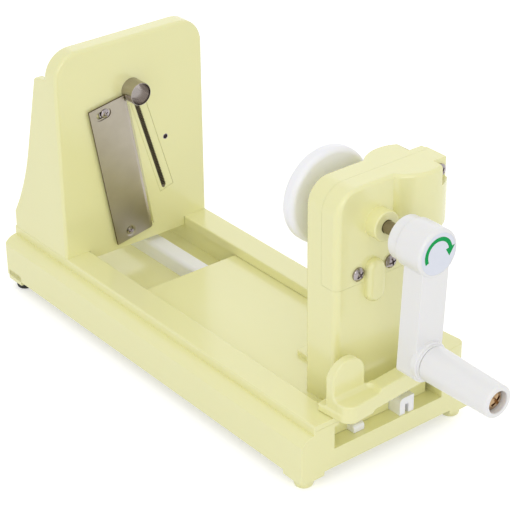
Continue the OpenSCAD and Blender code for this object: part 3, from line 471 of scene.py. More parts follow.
cream = moulded_plastic("cream_moulding", (0.875, 0.853, 0.45), (0.868, 0.844, 0.44), 0.18, 0.22)
white = moulded_plastic("white_moulding", (0.865, 0.86, 0.855), (0.855, 0.85, 0.845), 0.28, 0.32)
# Painted light: a lighter copy of the white moulding, for white parts that sit in shade (the disc, guide
# rail and slide shoe).
painted_light_white = moulded_plastic("painted_light_white", (0.93, 0.93, 0.96), (0.92, 0.92, 0.95), 0.28, 0.32)
# The blade's warm brownish tone is partly the steel's own colour and partly painted reflection of the yellow
# plastic around it.
blade_steel = satin_steel("blade_steel", (0.45, 0.41, 0.35), (0.41, 0.37, 0.31), 0.30, 0.36)
turned_steel = satin_steel("turned_steel", (0.44, 0.40, 0.37), (0.40, 0.36, 0.335), 0.18, 0.23)
screw_steel = satin_steel("screw_steel", (0.46, 0.42, 0.425), (0.34, 0.30, 0.305), 0.14, 0.22)
shaft_steel = satin_steel("shaft_steel", (0.30, 0.26, 0.21), (0.25, 0.21, 0.17), 0.16, 0.22)
dark_steel = satin_steel("dark_steel", (0.21, 0.18, 0.16), (0.16, 0.135, 0.12), 0.30, 0.38)
# Painted shade: a dark brown for the blade's side faces, standing in for the shadow in the gap behind the
# blade and the yellow plastic that the edges reflect.
painted_edge_shade = satin_steel("painted_edge_shade", (0.15, 0.10, 0.05), (0.11, 0.07, 0.035), 0.35, 0.45)
brass = satin_steel("yellow_zinc", (0.50, 0.35, 0.20), (0.38, 0.25, 0.14), 0.16, 0.26)


def soft_rubber():
    """Black foot rubber, dull and lightly speckled."""
    finish, tree, shader = new_finish("foot_rubber", (0.012, 0.012, 0.012), 0.7)
    speckle = noise(tree, scale=900, detail=4)
    tinted(tree, shader, speckle, (0.010, 0.010, 0.010), (0.022, 0.022, 0.021))
    grained(tree, shader, speckle, strength=0.3, distance=0.0001)
    return finish


def label_film(name, light, dark):
    """Printed film with a faint mottle."""
    finish, tree, shader = new_finish(name, light, 0.5)
    shader.inputs["Specular IOR Level"].default_value = 0.15
    mottle = noise(tree, scale=300, detail=3)
    tinted(tree, shader, mottle, light, dark)
    grained(tree, shader, mottle, strength=0.04, distance=0.00004)
    return finish


rubber = soft_rubber()
pale_film = label_film("pale_film", (0.80, 0.825, 0.91), (0.78, 0.81, 0.90))
green_ink = label_film("green_ink", (0.0, 0.36, 0.085), (0.0, 0.34, 0.078))


# Base


def base_outline():
    """The base's cross section: floor, channel, lips, rails and round shoulders."""
    wall_in = 41.2
    lip_h = 27.1
    crease_h = 27.5
    rise = 5.0
    width = BASE_HALF_W - RAIL_OUT
    shoulder_r = (width * width + rise * rise) / (2 * rise)
    hub = (RAIL_OUT, crease_h - shoulder_r)
    first = math.degrees(math.atan2(crease_h - rise - hub[1], width))
    edge = 1.0
    half = [(BASE_HALF_W, 0.0)]
    half += arc(hub, shoulder_r, first, 90, 10)
    half += arc((RAIL_OUT - edge, RAIL_H - edge), edge, 0, 90, 4)
    half += arc((RAIL_IN + edge, RAIL_H - edge), edge, 90, 180, 4)
    half += [(RAIL_IN, lip_h), (wall_in, lip_h), (wall_in, FLOOR_H)]
    return half + [(-y, z) for y, z in reversed(half)]


def corner_pad(name, front, side):
    """A square pad under one corner, with its lower edge softened."""
    overlap = 4.0
    x0, x1 = (-PAD_W, 0.0) if front else (-BASE_LEN, -BASE_LEN + PAD_W)
    y0, y1 = (BASE_HALF_W - PAD_W, BASE_HALF_W) if side > 0 else (-BASE_HALF_W, -BASE_HALF_W + PAD_W)
    pad = block(name, (x0, y0, -PAD_H), (x1, y1, overlap))
    outer = (0.0 if front else -BASE_LEN, BASE_HALF_W * side)
    corner = lambda a, b: all(abs(p.x - outer[0]) + abs(p.y - outer[1]) < SAME for p in (a, b))
    round_edges(pad, corner, BASE_CORNER, 5)
    return round_edges(pad, on_plane(2, -PAD_H), 0.5, 2)


def make_base():
    """The long moulding with its rails, hollow below, on four corner pads."""
    wall = 2.6
    line_d, line_h, line_inset = 0.5, 0.16, 1
    body = pulled("base_shell", base_outline(), 0, -BASE_LEN)
    side_edge = lambda a, b: abs(abs(a.y) - BASE_HALF_W) < SAME and abs(a.x - b.x) < SAME
    round_edges(body, lambda a, b: side_edge(a, b) and abs(a.z - b.z) > 5, BASE_CORNER, 5)
    flat_w = BASE_HALF_W - BASE_CORNER / 2
    inner = lambda a, b: max(abs(a.y), abs(b.y)) < flat_w and max(a.z, b.z) > 1
    for end in (0, -BASE_LEN):
        round_edges(body, lambda a, b: inner(a, b) and on_plane(0, end)(a, b), 0.7, 3)
    rim = BASE_HALF_W - wall
    hollow = block("hollow", (-BASE_LEN + wall, -rim, -5), (-wall, rim, FLOOR_H - wall))
    cut(body, hollow)
    for side in (-1, 1):
        y0, y1 = sorted((side * (RAIL_IN - line_inset), side * (RAIL_OUT - line_inset)))
        cut(body, block("line", (-line_d, y0, SEAM_H), (1, y1, SEAM_H + line_h)))
    for front in (True, False):
        for side in (-1, 1):
            joined(body, corner_pad("pad", front, side))
    finished(body, cream, "base", ["base_frame"])


def make_feet():
    """Round feet under the pads, cream in front and black rubber behind."""
    foot_r, overlap = 5.7, 0.4
    inset = PAD_W / 2
    low = -PAD_H - FOOT_H
    for name, x, finish, slot in (
        ("front_feet", -inset, cream, "cream_plastic"),
        ("rear_feet", inset - BASE_LEN, rubber, "rubber"),
    ):
        pair = []
        for side in (-1, 1):
            y = side * (BASE_HALF_W - inset)
            foot = bar("foot", (x, y, low), (x, y, -PAD_H + overlap), foot_r)
            round_edges(foot, on_plane(2, low), 1.6, 5)
            pair.append(foot)
        finished(together(f"{name}_set", pair), finish, "base", [name])


# Blade stand


def arch(half_w, low, high, radius, steps=14):
    """A (y, z) outline with two round upper corners."""
    right = arc((half_w - radius, high - radius), radius, 0, 90, steps)
    left = arc((radius - half_w, high - radius), radius, 90, 180, steps)
    return [(half_w, low)] + right + left + [(-half_w, low)]


def hollow_sweep(start, end, sag, steps=12):
    """Points on a shallow hollow curve between two points of an outline."""
    run = Vector(end) - Vector(start)
    out = Vector((-run.y, run.x)).normalized()
    shares = [k / steps for k in range(steps + 1)]
    points = [Vector(start) + run * t + out * (4 * sag * t * (1 - t)) for t in shares]
    return [(p.x, p.y) for p in points]


def stand_wing(side):
    """One side wing: a sloping crown, a straight flank and a hollow sweep to the toe."""
    crown, sag = 4.0, 2.3
    crown_top = WING_H + WING_RISE
    root, shoulder = STAND_BACK + 6, STAND_BACK - 13.5
    knee = (STAND_BACK - 26.5, 98)
    toe = (1 - BASE_LEN, 45)
    outline = [(root, RAIL_H), (root, crown_top), (STAND_BACK, crown_top)]
    outline += arc((shoulder + crown, WING_H - crown), crown, 90, 180, 8)
    outline += hollow_sweep(knee, toe, sag) + [(toe[0], RAIL_H)]
    outside = STAND_HALF_W * side
    wing = solid("wing", [at(x, outside, z) for x, z in outline], (0, -WING_T * side, 0))
    rear = lambda a, b: min(a.x, b.x) < STAND_BACK - 1 and max(a.z, b.z) > RAIL_H + 0.1
    across = lambda a, b: abs(a.y - b.y) < 0.01
    return round_edges(wing, lambda a, b: rear(a, b) and across(a, b), 1.1, 4)


def blade_frame(piece):
    """Leans a piece drawn upright about the blade's middle."""
    return turn_piece(piece, BLADE_LEAN, "X", at(0, BLADE_Y, BLADE_MID_H))


def comb_frame(piece):
    """Leans a piece drawn straight below the crank's axis along the comb."""
    return turn_piece(piece, COMB_LEAN, "X", at(0, 0, AXIS_H))


def comb_slot(name, x0, x1, gap=0.0):
    """A solid of the comb's slot, pointed at its lower end."""
    above, below = 1.5, 1.0
    half = COMB_SLOT_HALF - gap
    top = COMB_HIGH - above - gap
    low = COMB_HIGH - COMB_LEN + below + COMB_SLOT_HALF
    outline = [(half, top), (half, low), (0, low - half), (-half, low), (-half, top)]
    return pulled(name, outline, x0, x1 - x0)


def stand_bosses(x0, x1):
    """The round bosses behind the panel, for the tube, the insert and the blade's screws."""
    hole_y = BLADE_Y + BLADE_HOLE_U
    bosses = [rod("core_boss", x0, x1, 0, AXIS_H, 10.6)]
    bosses.append(rod("insert_boss", x0, x1, INSERT_Y, INSERT_H, 3.9, 32))
    for rise in (-BLADE_HOLE_V, BLADE_HOLE_V):
        bosses.append(blade_frame(rod("blade_boss", x0, x1, hole_y, BLADE_MID_H + rise, 4, 32)))
    return bosses


def blade_slit(x0, x1):
    """A solid of the slit behind the blade's ground edge, where slices pass."""
    behind, beyond = 4.4, 2.3
    down, up = 49.7, 41.3
    edge = BLADE_Y + BLADE_W / 2
    low = (x0, edge - behind, BLADE_MID_H - down)
    high = (x1, edge + beyond, BLADE_MID_H + up)
    return blade_frame(block("slit", low, high))


def make_stand():
    """The upright panel with an open back, side wings, bosses, slit and pockets."""
    face, back = STAND_FACE, STAND_BACK
    corner, pocket_corner = 17.5, 14
    skin, rim, sill = 5.0, 3.5, 9
    low = 27.3
    tongue = RAIL_IN - RUN_GAP
    outline = arch(STAND_HALF_W, RAIL_H, STAND_H, corner)
    outline += [(-tongue, RAIL_H), (-tongue, low), (tongue, low), (tongue, RAIL_H)]
    stand = pulled("stand_panel", outline, face, back - face)
    above = lambda a, b: max(a.z, b.z) > RAIL_H + 0.1
    round_edges(stand, lambda a, b: above(a, b) and on_plane(0, face)(a, b), 2.2, 5)
    crown = lambda a, b: min(a.z, b.z) > STAND_H - 18 and on_plane(0, back)(a, b)
    round_edges(stand, crown, 0.9, 3)
    pocket = arch(STAND_HALF_W - rim, RAIL_H + sill, STAND_H - rim, pocket_corner)
    cut(stand, pulled("pocket", pocket, back - 1, face - skin - back + 1))
    joined(stand, stand_wing(-1), stand_wing(1))
    joined(stand, *stand_bosses(back, face - skin + 1))
    behind, ahead = back - 1, face + 1
    hole = rod("core_hole", behind, ahead, 0, AXIS_H, CORE_R + 0.05)
    insert = rod("insert_hole", behind, ahead, INSERT_Y, INSERT_H, 1.95, 32)
    slot = comb_frame(comb_slot("slot", behind, ahead))
    cut(stand, blade_slit(behind, ahead), hole, insert, slot)
    seat_low = (face - COMB_T, COMB_SHIFT - COMB_W / 2, COMB_HIGH - COMB_LEN)
    seat_high = (ahead, COMB_SHIFT + COMB_W / 2, COMB_HIGH)
    cut(stand, comb_frame(block("seat", seat_low, seat_high)))
    finished(stand, cream, "base", ["blade_stand"])


def make_comb_holder():
    """The strip let into the panel beside the blade, with its pointed slot."""
    gap = 0.12
    high = COMB_HIGH - gap
    strip = block(
        "comb_strip",
        (STAND_FACE - COMB_T, COMB_SHIFT - COMB_W / 2 + gap, high - COMB_LEN + 2 * gap),
        (STAND_FACE, COMB_SHIFT + COMB_W / 2 - gap, high),
    )
    round_edges(strip, on_plane(0, STAND_FACE), 0.3, 2)
    comb_frame(strip)
    cut(strip, comb_frame(comb_slot("slot", STAND_FACE - COMB_T - 1, STAND_FACE + 1)))
    finished(strip, cream, "base", ["comb_holder"])


def make_comb():
    """The dark strip that fills the slot, with a row of small cutters along it."""
    pitch, cutter_t = 1.3, 0.45
    fit = 0.05
    half = COMB_SLOT_HALF - fit
    high = COMB_HIGH - 1.6
    low = COMB_HIGH - COMB_LEN + 2.6
    strip = comb_slot("cutter_strip", STAND_FACE - 5.4, STAND_FACE - 0.5, fit)
    root, blunt, sharp = STAND_FACE - 1, STAND_FACE + 0.1, STAND_FACE + 1.0
    section = [(root, -half), (root, half), (sharp, half), (blunt, -half)]
    cutter = raised("cutter", section, high - pitch, cutter_t)
    only(cutter)
    bpy.ops.object.modifier_add(type="ARRAY")
    row = cutter.modifiers[-1]
    row.use_relative_offset = False
    row.use_constant_offset = True
    row.constant_offset_displace = (0, 0, -pitch * MM)
    row.count = int((high - low) / pitch)
    bpy.ops.object.modifier_apply(modifier=row.name)
    cutters = comb_frame(together("comb_cutters", [strip, cutter]))
    finished(cutters, dark_steel, "base", ["comb_blade"])


def long_hole(name, x0, x1, width):
    """A solid of the blade's adjusting slot, with round ends."""
    half_len = (BLADE_SLOT_LEN - BLADE_RECESS_W) / 2
    y, z = BLADE_Y + BLADE_HOLE_U + BLADE_SLOT_SHIFT, BLADE_MID_H + BLADE_HOLE_V
    outline = arc((y + half_len, z), width / 2, -90, 90, 12)
    outline += arc((y - half_len, z), width / 2, 90, 270, 12)
    return pulled(name, outline, x0, x1 - x0)


def make_blade():
    """The slicing blade: a ground edge, an adjusting slot in a recess and a countersunk hole."""
    back = STAND_FACE + BLADE_GAP
    front = back + BLADE_T
    behind, ahead = back - 1, front + 1
    half = BLADE_W / 2
    ground, edge_t = 2.2, 0.15
    slot_w, hole_r, sink_r, sink_d = 4.6, 1.6, 4.0, 1.1
    section = [(back, -half), (front, -half), (front, half - ground), (back + edge_t, half), (back, half)]
    low = BLADE_MID_H - BLADE_LEN / 2
    blade = raised("slicer_blade", [(x, BLADE_Y + u) for x, u in section], low, BLADE_LEN)
    round_edges(blade, on_plane(0, front), 0.2, 2)
    recess = long_hole("recess", front - BLADE_RECESS_D, ahead, BLADE_RECESS_W)
    cut(blade, long_hole("slot", behind, ahead, slot_w), recess)
    sink = [(behind, 0.0), (behind, hole_r), (front - sink_d, hole_r)]
    sink += [(front, sink_r), (ahead, sink_r), (ahead, 0.0)]
    cut(blade, turned("sink", sink, BLADE_Y + BLADE_HOLE_U, BLADE_MID_H - BLADE_HOLE_V, 48))
    blade_frame(blade)
    cut(blade, rod("core_hole", behind, ahead, 0, AXIS_H, CORE_R + RUN_GAP))
    finished(blade, blade_steel, "base", ["slicing_blade"], 20)
    # Painted shade on the blade's side faces: they take the dark brown edge finish, and the broad faces keep
    # the steel.
    blade.data.materials.append(painted_edge_shade)
    side_tilt = 0.3
    for face in blade.data.polygons:
        face.material_index = int(abs(face.normal.x) < side_tilt)


def make_core_tube():
    """The steel tube that takes the core, with a sharpened and slightly rolled mouth."""
    tip = STAND_FACE + 10.6
    bore = CORE_R - 1.0
    profile = [(STAND_BACK, bore), (STAND_BACK, CORE_R), (tip - 0.5, CORE_R)]
    profile += [(tip, CORE_R - 0.25), (tip, CORE_R - 0.45), (tip - 1.2, bore), (STAND_BACK, bore)]
    finished(turned("coring_tube", profile, 0, AXIS_H), turned_steel, "base", ["core_tube"])


# Screws


def crossed(screw, deep, top, y, z, head_r, turn):
    """Cuts the cross into a screw's head."""
    reach = head_r * 0.6
    half = head_r * 0.14
    for quarter in (0, 90):
        slot = block("slot", (deep, y - half, z - reach), (top + 1, y + half, z + reach))
        cut(screw, turn_piece(slot, math.radians(quarter + turn), "X", at(0, y, z)))
    return screw


def pan_screw(name, face, y, z, shank, head_r, head_h, turn=0.0, shank_r=1.9):
    """A cross head screw with a domed pan head, standing on a face that looks to the front."""
    wall = head_h * 0.42
    dome = head_h - wall
    dome_r = (head_r * head_r + dome * dome) / (2 * dome)
    first = math.degrees(math.asin(head_r / dome_r))
    profile = [(face - shank, 0.0), (face - shank, shank_r), (face, shank_r), (face, head_r)]
    profile += arc((face + wall - dome_r + dome, 0), dome_r, first, 0, 8)
    screw = turned(name, profile, y, z, 48)
    return crossed(screw, face + head_h * 0.35, face + head_h, y, z, head_r, turn)


def sunk_screw(name, face, y, z, shank, head_r, turn):
    """A cross head screw whose head lies just below the face, in a wider countersink."""
    rim = face - 0.35
    profile = [(face - shank, 0.0), (face - shank, 1.5), (face - 1.1, 1.5), (rim - 0.15, head_r - 0.1)]
    profile += [(rim, head_r), (face - 0.15, head_r * 0.6), (face - 0.05, 0.0)]
    return crossed(turned(name, profile, y, z, 48), face - 1.0, face, y, z, head_r, turn)


def make_screws():
    """The screws that show: two low on the cover, one in the lug, two on the blade."""
    head_r, head_h = 4.1, 2.6
    shank, height = 22, 108.4
    cover = [
        pan_screw("screw", COLUMN_FACE, COVER_MID_Y - COVER_SCREW_Y, height, shank, head_r, head_h, 35),
        pan_screw("screw", COLUMN_FACE, COVER_MID_Y + COVER_SCREW_Y, height, shank, head_r, head_h, 12),
        pan_screw("screw", LUG_FACE, *LUG_SCREW, 13, head_r, head_h, 50),
    ]
    finished(together("cover_screw_set", cover), screw_steel, "carriage", ["cover_screws"])
    front = STAND_FACE + BLADE_GAP + BLADE_T
    y = BLADE_Y + BLADE_HOLE_U
    low, high = BLADE_MID_H - BLADE_HOLE_V, BLADE_MID_H + BLADE_HOLE_V
    upper = pan_screw("blade_screw", front - BLADE_RECESS_D, y, high, 12.5, 3.0, 1.5, turn=20, shank_r=1.5)
    finished(blade_frame(upper), screw_steel, "base", ["upper_blade_screw"])
    lower = sunk_screw("sunk_blade_screw", front, y, low, shank=12.9, head_r=2.85, turn=30)
    finished(blade_frame(lower), screw_steel, "base", ["lower_blade_screw"])


# Carriage


def rear_barrel():
    """The round housing behind the cover."""
    radius = 23.5
    x = COLUMN_FACE - 7.9
    last = -180 - math.degrees(math.asin((BARREL_FLAT_Y - BARREL_Y) / radius))
    outline = arc((x, BARREL_Y), radius, -90, last, 40) + [(x, BARREL_FLAT_Y)]
    barrel = raised("rear_barrel", outline, BARREL_LOW, COLUMN_H - BARREL_LOW)
    round_edges(barrel, lambda a, b: on_plane(2, BARREL_LOW)(a, b) and min(a.x, b.x) < x, 4.5, 6)
    return round_edges(barrel, lambda a, b: on_plane(2, COLUMN_H)(a, b) and min(a.x, b.x) < x, 0.9, 3)


def front_barrel():
    """The housing's flatter front, which bulges out of the cover, with a way for the driver."""
    radius = 25.0
    x, y = COLUMN_FACE - 14.9, 31.7
    first = math.degrees(math.asin((LUG_Y - y) / radius))
    outline = arc((x, y), radius, first, -90, 48) + [(x, LUG_Y)]
    barrel = raised("front_barrel", outline, BARREL_LOW, COLUMN_H - BARREL_LOW)
    bowed = lambda a, b: (a - b).length < 3
    round_edges(barrel, lambda a, b: on_plane(2, COLUMN_H)(a, b) and bowed(a, b), COVER_EDGE, 5)
    round_edges(barrel, lambda a, b: on_plane(2, BARREL_LOW)(a, b) and bowed(a, b), 5.0, 8)
    low = (LUG_FACE, BARREL_FLAT_Y, LUG_SCREW[1] - 4.9)
    high = (20, LUG_Y + 1, COLUMN_H + 1)
    return cut(barrel, block("driver_way", low, high))


def column_form():
    """The column's whole outer form, before the cover is parted from it."""
    corner, side_edge = 15, 4.6
    outline = arch(COLUMN_HALF_W, TRAY_H, COLUMN_H, corner)
    form = pulled("column_shell", outline, COLUMN_FACE, COLUMN_BACK - COLUMN_FACE)
    above = lambda a, b: max(a.z, b.z) > TRAY_H + 0.1
    front = lambda a, b: above(a, b) and on_plane(0, COLUMN_FACE)(a, b)
    round_by_height(form, front, (side_edge, COVER_EDGE), (COLUMN_H - corner, COLUMN_H - 2), 8)
    round_edges(form, lambda a, b: above(a, b) and on_plane(0, COLUMN_BACK)(a, b), 2.4, 5)
    lug = block("lug", (LUG_FACE - 18.7, BARREL_FLAT_Y - 4, BARREL_LOW), (LUG_FACE, LUG_Y, COLUMN_H))
    round_edges(lug, lambda a, b: min(a.y, b.y) > BARREL_FLAT_Y, 1.5, 4)
    return joined(form, rear_barrel(), front_barrel(), lug)


def grip_ridge():
    """A domed pill shaped ridge low on the cover, which reaches down over the joint."""
    y, half, proud, reach = -2.2, 6.2, 4.8, 13.2
    low, high = JOINT_H - reach + half, JOINT_H + reach - half
    outline = arc((y, high), half, 0, 180, 24) + arc((y, low), half, 180, 360, 24)
    ridge = pulled("ridge", outline, COLUMN_FACE - 1, proud + 1)
    round_edges(ridge, on_plane(0, COLUMN_FACE + proud), 3.0, 8)
    room_low = (COLUMN_FACE - 2, -20, JOINT_H - 20)
    room_high = (COLUMN_FACE + 0.02, 20, JOINT_H + COVER_SEAM)
    return cut(ridge, block("room", room_low, room_high))


def cover_space(name, gap):
    """The space ahead of the parting plane and above the joint."""
    return block(name, (PART_X + gap, -80, JOINT_H + gap), (40, 80, 200))


def boss(name, foot, end, flare):
    """A round boss on the shaft's line, with a filleted foot and a soft rim."""
    out = 1 if end > foot else -1
    rim = 1.0
    bore = SHAFT_R + 0.15
    inside = foot - 3 * out
    profile = [(inside, bore), (inside, BOSS_R + flare)]
    fillet = arc((0, 0), flare, 180, 270, 6)
    profile += [(foot + out * (flare + u), BOSS_R + flare + v) for u, v in fillet]
    profile += [(end - out * (rim - u), BOSS_R - rim + v) for u, v in arc((0, 0), rim, 90, 0, 5)]
    profile += [(end, bore + 0.2), (end - 0.2 * out, bore), (inside, bore)]
    return turned(name, profile, 0, AXIS_H)


def foot_tongue():
    """The flat tongue behind the column, which a screw holds to the tray."""
    end, half, side, corner, thick = -71, 8.4, 5.9, 2.5, 3
    root = COLUMN_BACK + 3
    outline = [(root, half)] + arc((end, side), corner, 90, 180, 6)
    outline += arc((end, -side), corner, 180, 270, 6) + [(root, -half)]
    tongue = raised("tongue", outline, TRAY_H, thick)
    return round_edges(tongue, on_plane(2, TRAY_H + thick), 0.7, 3)


def make_column():
    """The upright on its foot tongue, and the cover that closes its front."""
    rear_len, front_len, fillet = 5, 8.4, 0.3
    form = column_form()
    front = copied(form, "cover_shell")
    cut(form, cover_space("space", 0))
    joined(front, cover_space("space", COVER_SEAM), way="INTERSECT")
    joined(form, foot_tongue(), boss("rear_boss", COLUMN_BACK, COLUMN_BACK - rear_len, fillet))
    joined(front, grip_ridge(), boss("front_boss", COLUMN_FACE, COLUMN_FACE + front_len, fillet))
    finished(form, cream, "carriage", ["carriage_column"])
    finished(front, cream, "carriage", ["front_cover"])


def make_tray():
    """The slide plate between the rails, with softened edges."""
    reach, half_w, thick = -192, 40.6, 2.5
    plate = block("slide_tray", (reach, -half_w, TRAY_H - thick), (COLUMN_FACE, half_w, TRAY_H))
    round_edges(plate, lambda a, b: True, 0.5, 3)
    finished(plate, cream, "carriage", ["slide_plate"])


# Release lever


def lever_frame(piece):
    """Turns a piece drawn square to the base about the lever's pivot."""
    return turn_piece(piece, LEVER_ANGLE, "Z", at(LEVER_PIVOT[0], LEVER_PIVOT[1], 0))


def thumb_tab():
    """The upright plate with a round top, whose back leans forward above."""
    half = TAB_W / 2
    tab_h, tab_t = 33.8, 7
    top = LEVER_LOW + tab_h - half
    outline = [(TAB_Y + half, LEVER_LOW)] + arc((TAB_Y, top), half, 0, 180, 48)
    outline += [(TAB_Y - half, LEVER_LOW)]
    tab = pulled("tab", outline, -tab_t, tab_t)
    behind, leant, peak, reach = -9, -4.4, top + 15, 20
    lean = [(behind, top), (-tab_t, top), (leant, peak), (behind, peak)]
    return cut(tab, solid("lean", [at(x, TAB_Y - reach, z) for x, z in lean], (0, 2 * reach, 0)))


def lever_outline(near):
    """The bar in plan: a round nose, soft front corners and a wider block at the far end."""
    back, front = -3.9, 6.1
    nose, end = 6.5, 5.0
    block_d, block_w = 22.0, 17.0
    outline = arc((front - nose, near + nose), nose, 270, 360, 24)
    outline += arc((front - end, LEVER_FAR - end), end, 0, 90, 12)
    outline += [(front - block_d, LEVER_FAR), (front - block_d, LEVER_FAR - block_w)]
    return outline + [(back, LEVER_FAR - block_w), (back, near)]


def flange_outline(near):
    """The flange on the near rail in plan, which runs into the bar's round nose."""
    rear, front, nose, heel = -18.9, 6.0, 7.0, 2.0
    outline = arc((rear + heel, near + heel), heel, 180, 270, 6)
    outline += arc((front - nose, near + nose), nose, 270, 360, 24)
    return outline + [(front, TAB_Y), (rear, TAB_Y)]


def thumb_scoop(floor):
    """A solid of the scoop in front of the tab, with a round inner corner and soft lower edges."""
    end, corner, high = -15.5, 5.0, 62.0
    reach, side, gap = 30.0, -70.0, 0.02
    outline = [(reach, side), (reach, end)]
    outline += arc((corner, end - corner), corner, 90, 180, 12) + [(0, side)]
    scoop = raised("scoop", [(x + gap, y) for x, y in outline], floor, high - floor)
    inner = lambda a, b: max(a.x, b.x) < reach + 0.1 and min(a.x, b.x) < corner + 0.5
    return round_edges(scoop, lambda a, b: on_plane(2, floor)(a, b) and inner(a, b), 3.0, 8)


def softened(piece, grain, passes):
    """Takes the sharpness off every edge: a fine even mesh, lightly smoothed."""
    only(piece)
    bpy.ops.object.modifier_add(type="REMESH")
    mesh = piece.modifiers[-1]
    mesh.mode = "VOXEL"
    mesh.voxel_size = grain * MM
    bpy.ops.object.modifier_apply(modifier=mesh.name)
    bpy.ops.object.modifier_add(type="SMOOTH")
    smooth = piece.modifiers[-1]
    smooth.factor = 0.5
    smooth.iterations = passes
    bpy.ops.object.modifier_apply(modifier=smooth.name)
    return piece


def make_lever():
    """The bar across the front with its thumb tab, scoop and flange."""
    bar_h, flange_t, scoop_d = 13.4, 4.6, 2.4
    bar_over, flange_over = 0.83, 1.2
    step_w, step_h = 3.4, 1.8
    inset = 0.01
    top = LEVER_LOW + bar_h
    near = TAB_Y - TAB_W / 2
    lever = raised("lever_bar", lever_outline(near - bar_over), LEVER_LOW, bar_h)
    cut(lever, block("step", (-20, near + TAB_W - step_w, 0), (20, 60, LEVER_LOW + step_h)))
    flange = raised("flange", flange_outline(near - flange_over), LEVER_LOW, flange_t)
    ear = block("ear", (-13, 20, LEVER_LOW), (1, 36, LEVER_LOW + flange_t))
    for part in (lever, flange, ear):
        lever_frame(part)
    joined(lever, flange, ear)
    fill = block("fill", (-4, near + inset, LEVER_LOW + inset), (3.7, near + TAB_W - inset, top - inset))
    back = block("back", (-0.5, near + TAB_W - 1, LEVER_LOW + 2), (3, near + TAB_W + 6, top - inset))
    joined(lever, fill, back, thumb_tab())
    cut(lever, thumb_scoop(top - scoop_d))
    softened(lever, grain=0.42, passes=12)
    finished(lever, cream, "lever", ["release_lever"], 180)


# Crank, disc and grip


def crank_frame(piece):
    """Swings a piece drawn hanging straight down to the crank's place at rest."""
    return turn_piece(piece, CRANK_REST, "X", at(0, 0, AXIS_H))


def soft_rim(x, radius, edge, steps=5, front=True):
    """Profile points of a rounded rim."""
    if front:
        return arc((x - edge, radius - edge), edge, 90, 0, steps)
    return arc((x + edge, radius - edge), edge, 180, 90, steps)


def crank_hub():
    """The round hub with its neck, its blind bore and a shallow seat for the label."""
    neck_r, neck_end = 13, HUB_BACK + 7
    fit = 0.05
    bore, seat_r = SHAFT_R + fit, HUB_R - 2 + fit
    seat, blind = HUB_FRONT - 0.4, HUB_FRONT - 6
    profile = [(HUB_BACK, bore)] + soft_rim(HUB_BACK, neck_r, 0.8, 4, False)
    profile += soft_rim(neck_end, neck_r, 0.9, 4) + soft_rim(neck_end, HUB_R, 1.2, 4, False)
    profile += soft_rim(HUB_FRONT, HUB_R, 1.9, 8)
    profile += [(HUB_FRONT, seat_r), (seat, seat_r), (seat, 0.0)]
    profile += [(blind, 0.0), (blind, bore), (HUB_BACK, bore)]
    return turned("crank_body", profile, 0, AXIS_H)


def crank_bar():
    """The flat arm that hangs from the hub, with a bowed and softened lower end."""
    half, depth, end_r = 9.65, 14.5, 13.0
    low = AXIS_H - CRANK_R
    bow = math.degrees(math.asin(half / end_r))
    outline = [(-half, AXIS_H)] + arc((0, low), end_r, 270 - bow, 270 + bow, 16) + [(half, AXIS_H)]
    arm = pulled("arm", outline, ARM_FRONT, -depth)
    corner = lambda a: abs(abs(a.y) - half) < 0.05 and a.z < low
    round_edges(arm, lambda a, b: abs(a.x - b.x) > 1 and corner(a) and corner(b), 4.0, 6)
    below = lambda a, b: min(a.z, b.z) < AXIS_H - 0.1
    return round_edges(arm, lambda a, b: below(a, b) and abs(a.x - b.x) < 0.01, 1.6, 5)


def crank_collar():
    """The stepped collar that the grip turns against."""
    root, step, end = ARM_FRONT - 2, ARM_FRONT + 2.1, ARM_FRONT + COLLAR_LEN
    inner_r = COLLAR_R - 1.1
    profile = [(root, 0.0), (root, COLLAR_R)] + soft_rim(step, COLLAR_R, 0.6, 4)
    profile += [(step, inner_r)] + soft_rim(end, inner_r, 0.5, 4) + [(end, 0.0)]
    return turned("collar", profile, 0, AXIS_H - CRANK_R)


def make_crank():
    """Hub, arm and collar in one white moulding."""
    crank = joined(crank_hub(), crank_bar(), crank_collar())
    finished(crank_frame(crank), white, "spindle", ["crank_arm"])


def on_circle(radius, angle):
    """The point of a circle at an angle in degrees."""
    return arc((0, 0), radius, angle, angle, 1)[0]


def make_arrow():
    """The printed turning arrow on the hub's label."""
    middle, half, head = 8.7, 1.2, 3.3
    first, neck, tip = 204, 11, -24
    sunk, ink_t = 0.06, 0.05
    outline = arc((0, 0), middle + half, first, neck, 28)
    outline += [on_circle(middle + head, neck), on_circle(middle, tip), on_circle(middle - head, neck)]
    outline += arc((0, 0), middle - half, neck, first, 28)
    arrow = pulled("turning_arrow", [(y, AXIS_H + z) for y, z in outline], HUB_FRONT - sunk, ink_t)
    finished(arrow, green_ink, "spindle", [])


def make_disc():
    """The disc that holds the vegetable, with a well rounded rim and a short hub."""
    radius, thick = 29.2, 8.7
    hub_r, hub_len, fillet = 10.0, 5, 1.2
    face = COLUMN_BACK - 12
    back, end = face - thick, face + hub_len
    foot_r = hub_r + fillet
    profile = [(back, 0.0)] + soft_rim(back, radius, 2.2, 6, False) + soft_rim(face, radius, 3.5, 8)
    bend = arc((0, 0), fillet, 90, 0, 4)[1:-1]
    profile += [(face, foot_r)] + [(face + fillet - u, foot_r - v) for u, v in bend]
    profile += [(face + fillet, hub_r)] + soft_rim(end, hub_r, 0.7, 4) + [(end, 0.0)]
    disc = turned("holding_disc", profile, 0, AXIS_H)
    # Painted light: the disc takes the lighter copy of the white moulding.
    finished(disc, painted_light_white, "spindle", ["food_disc"])


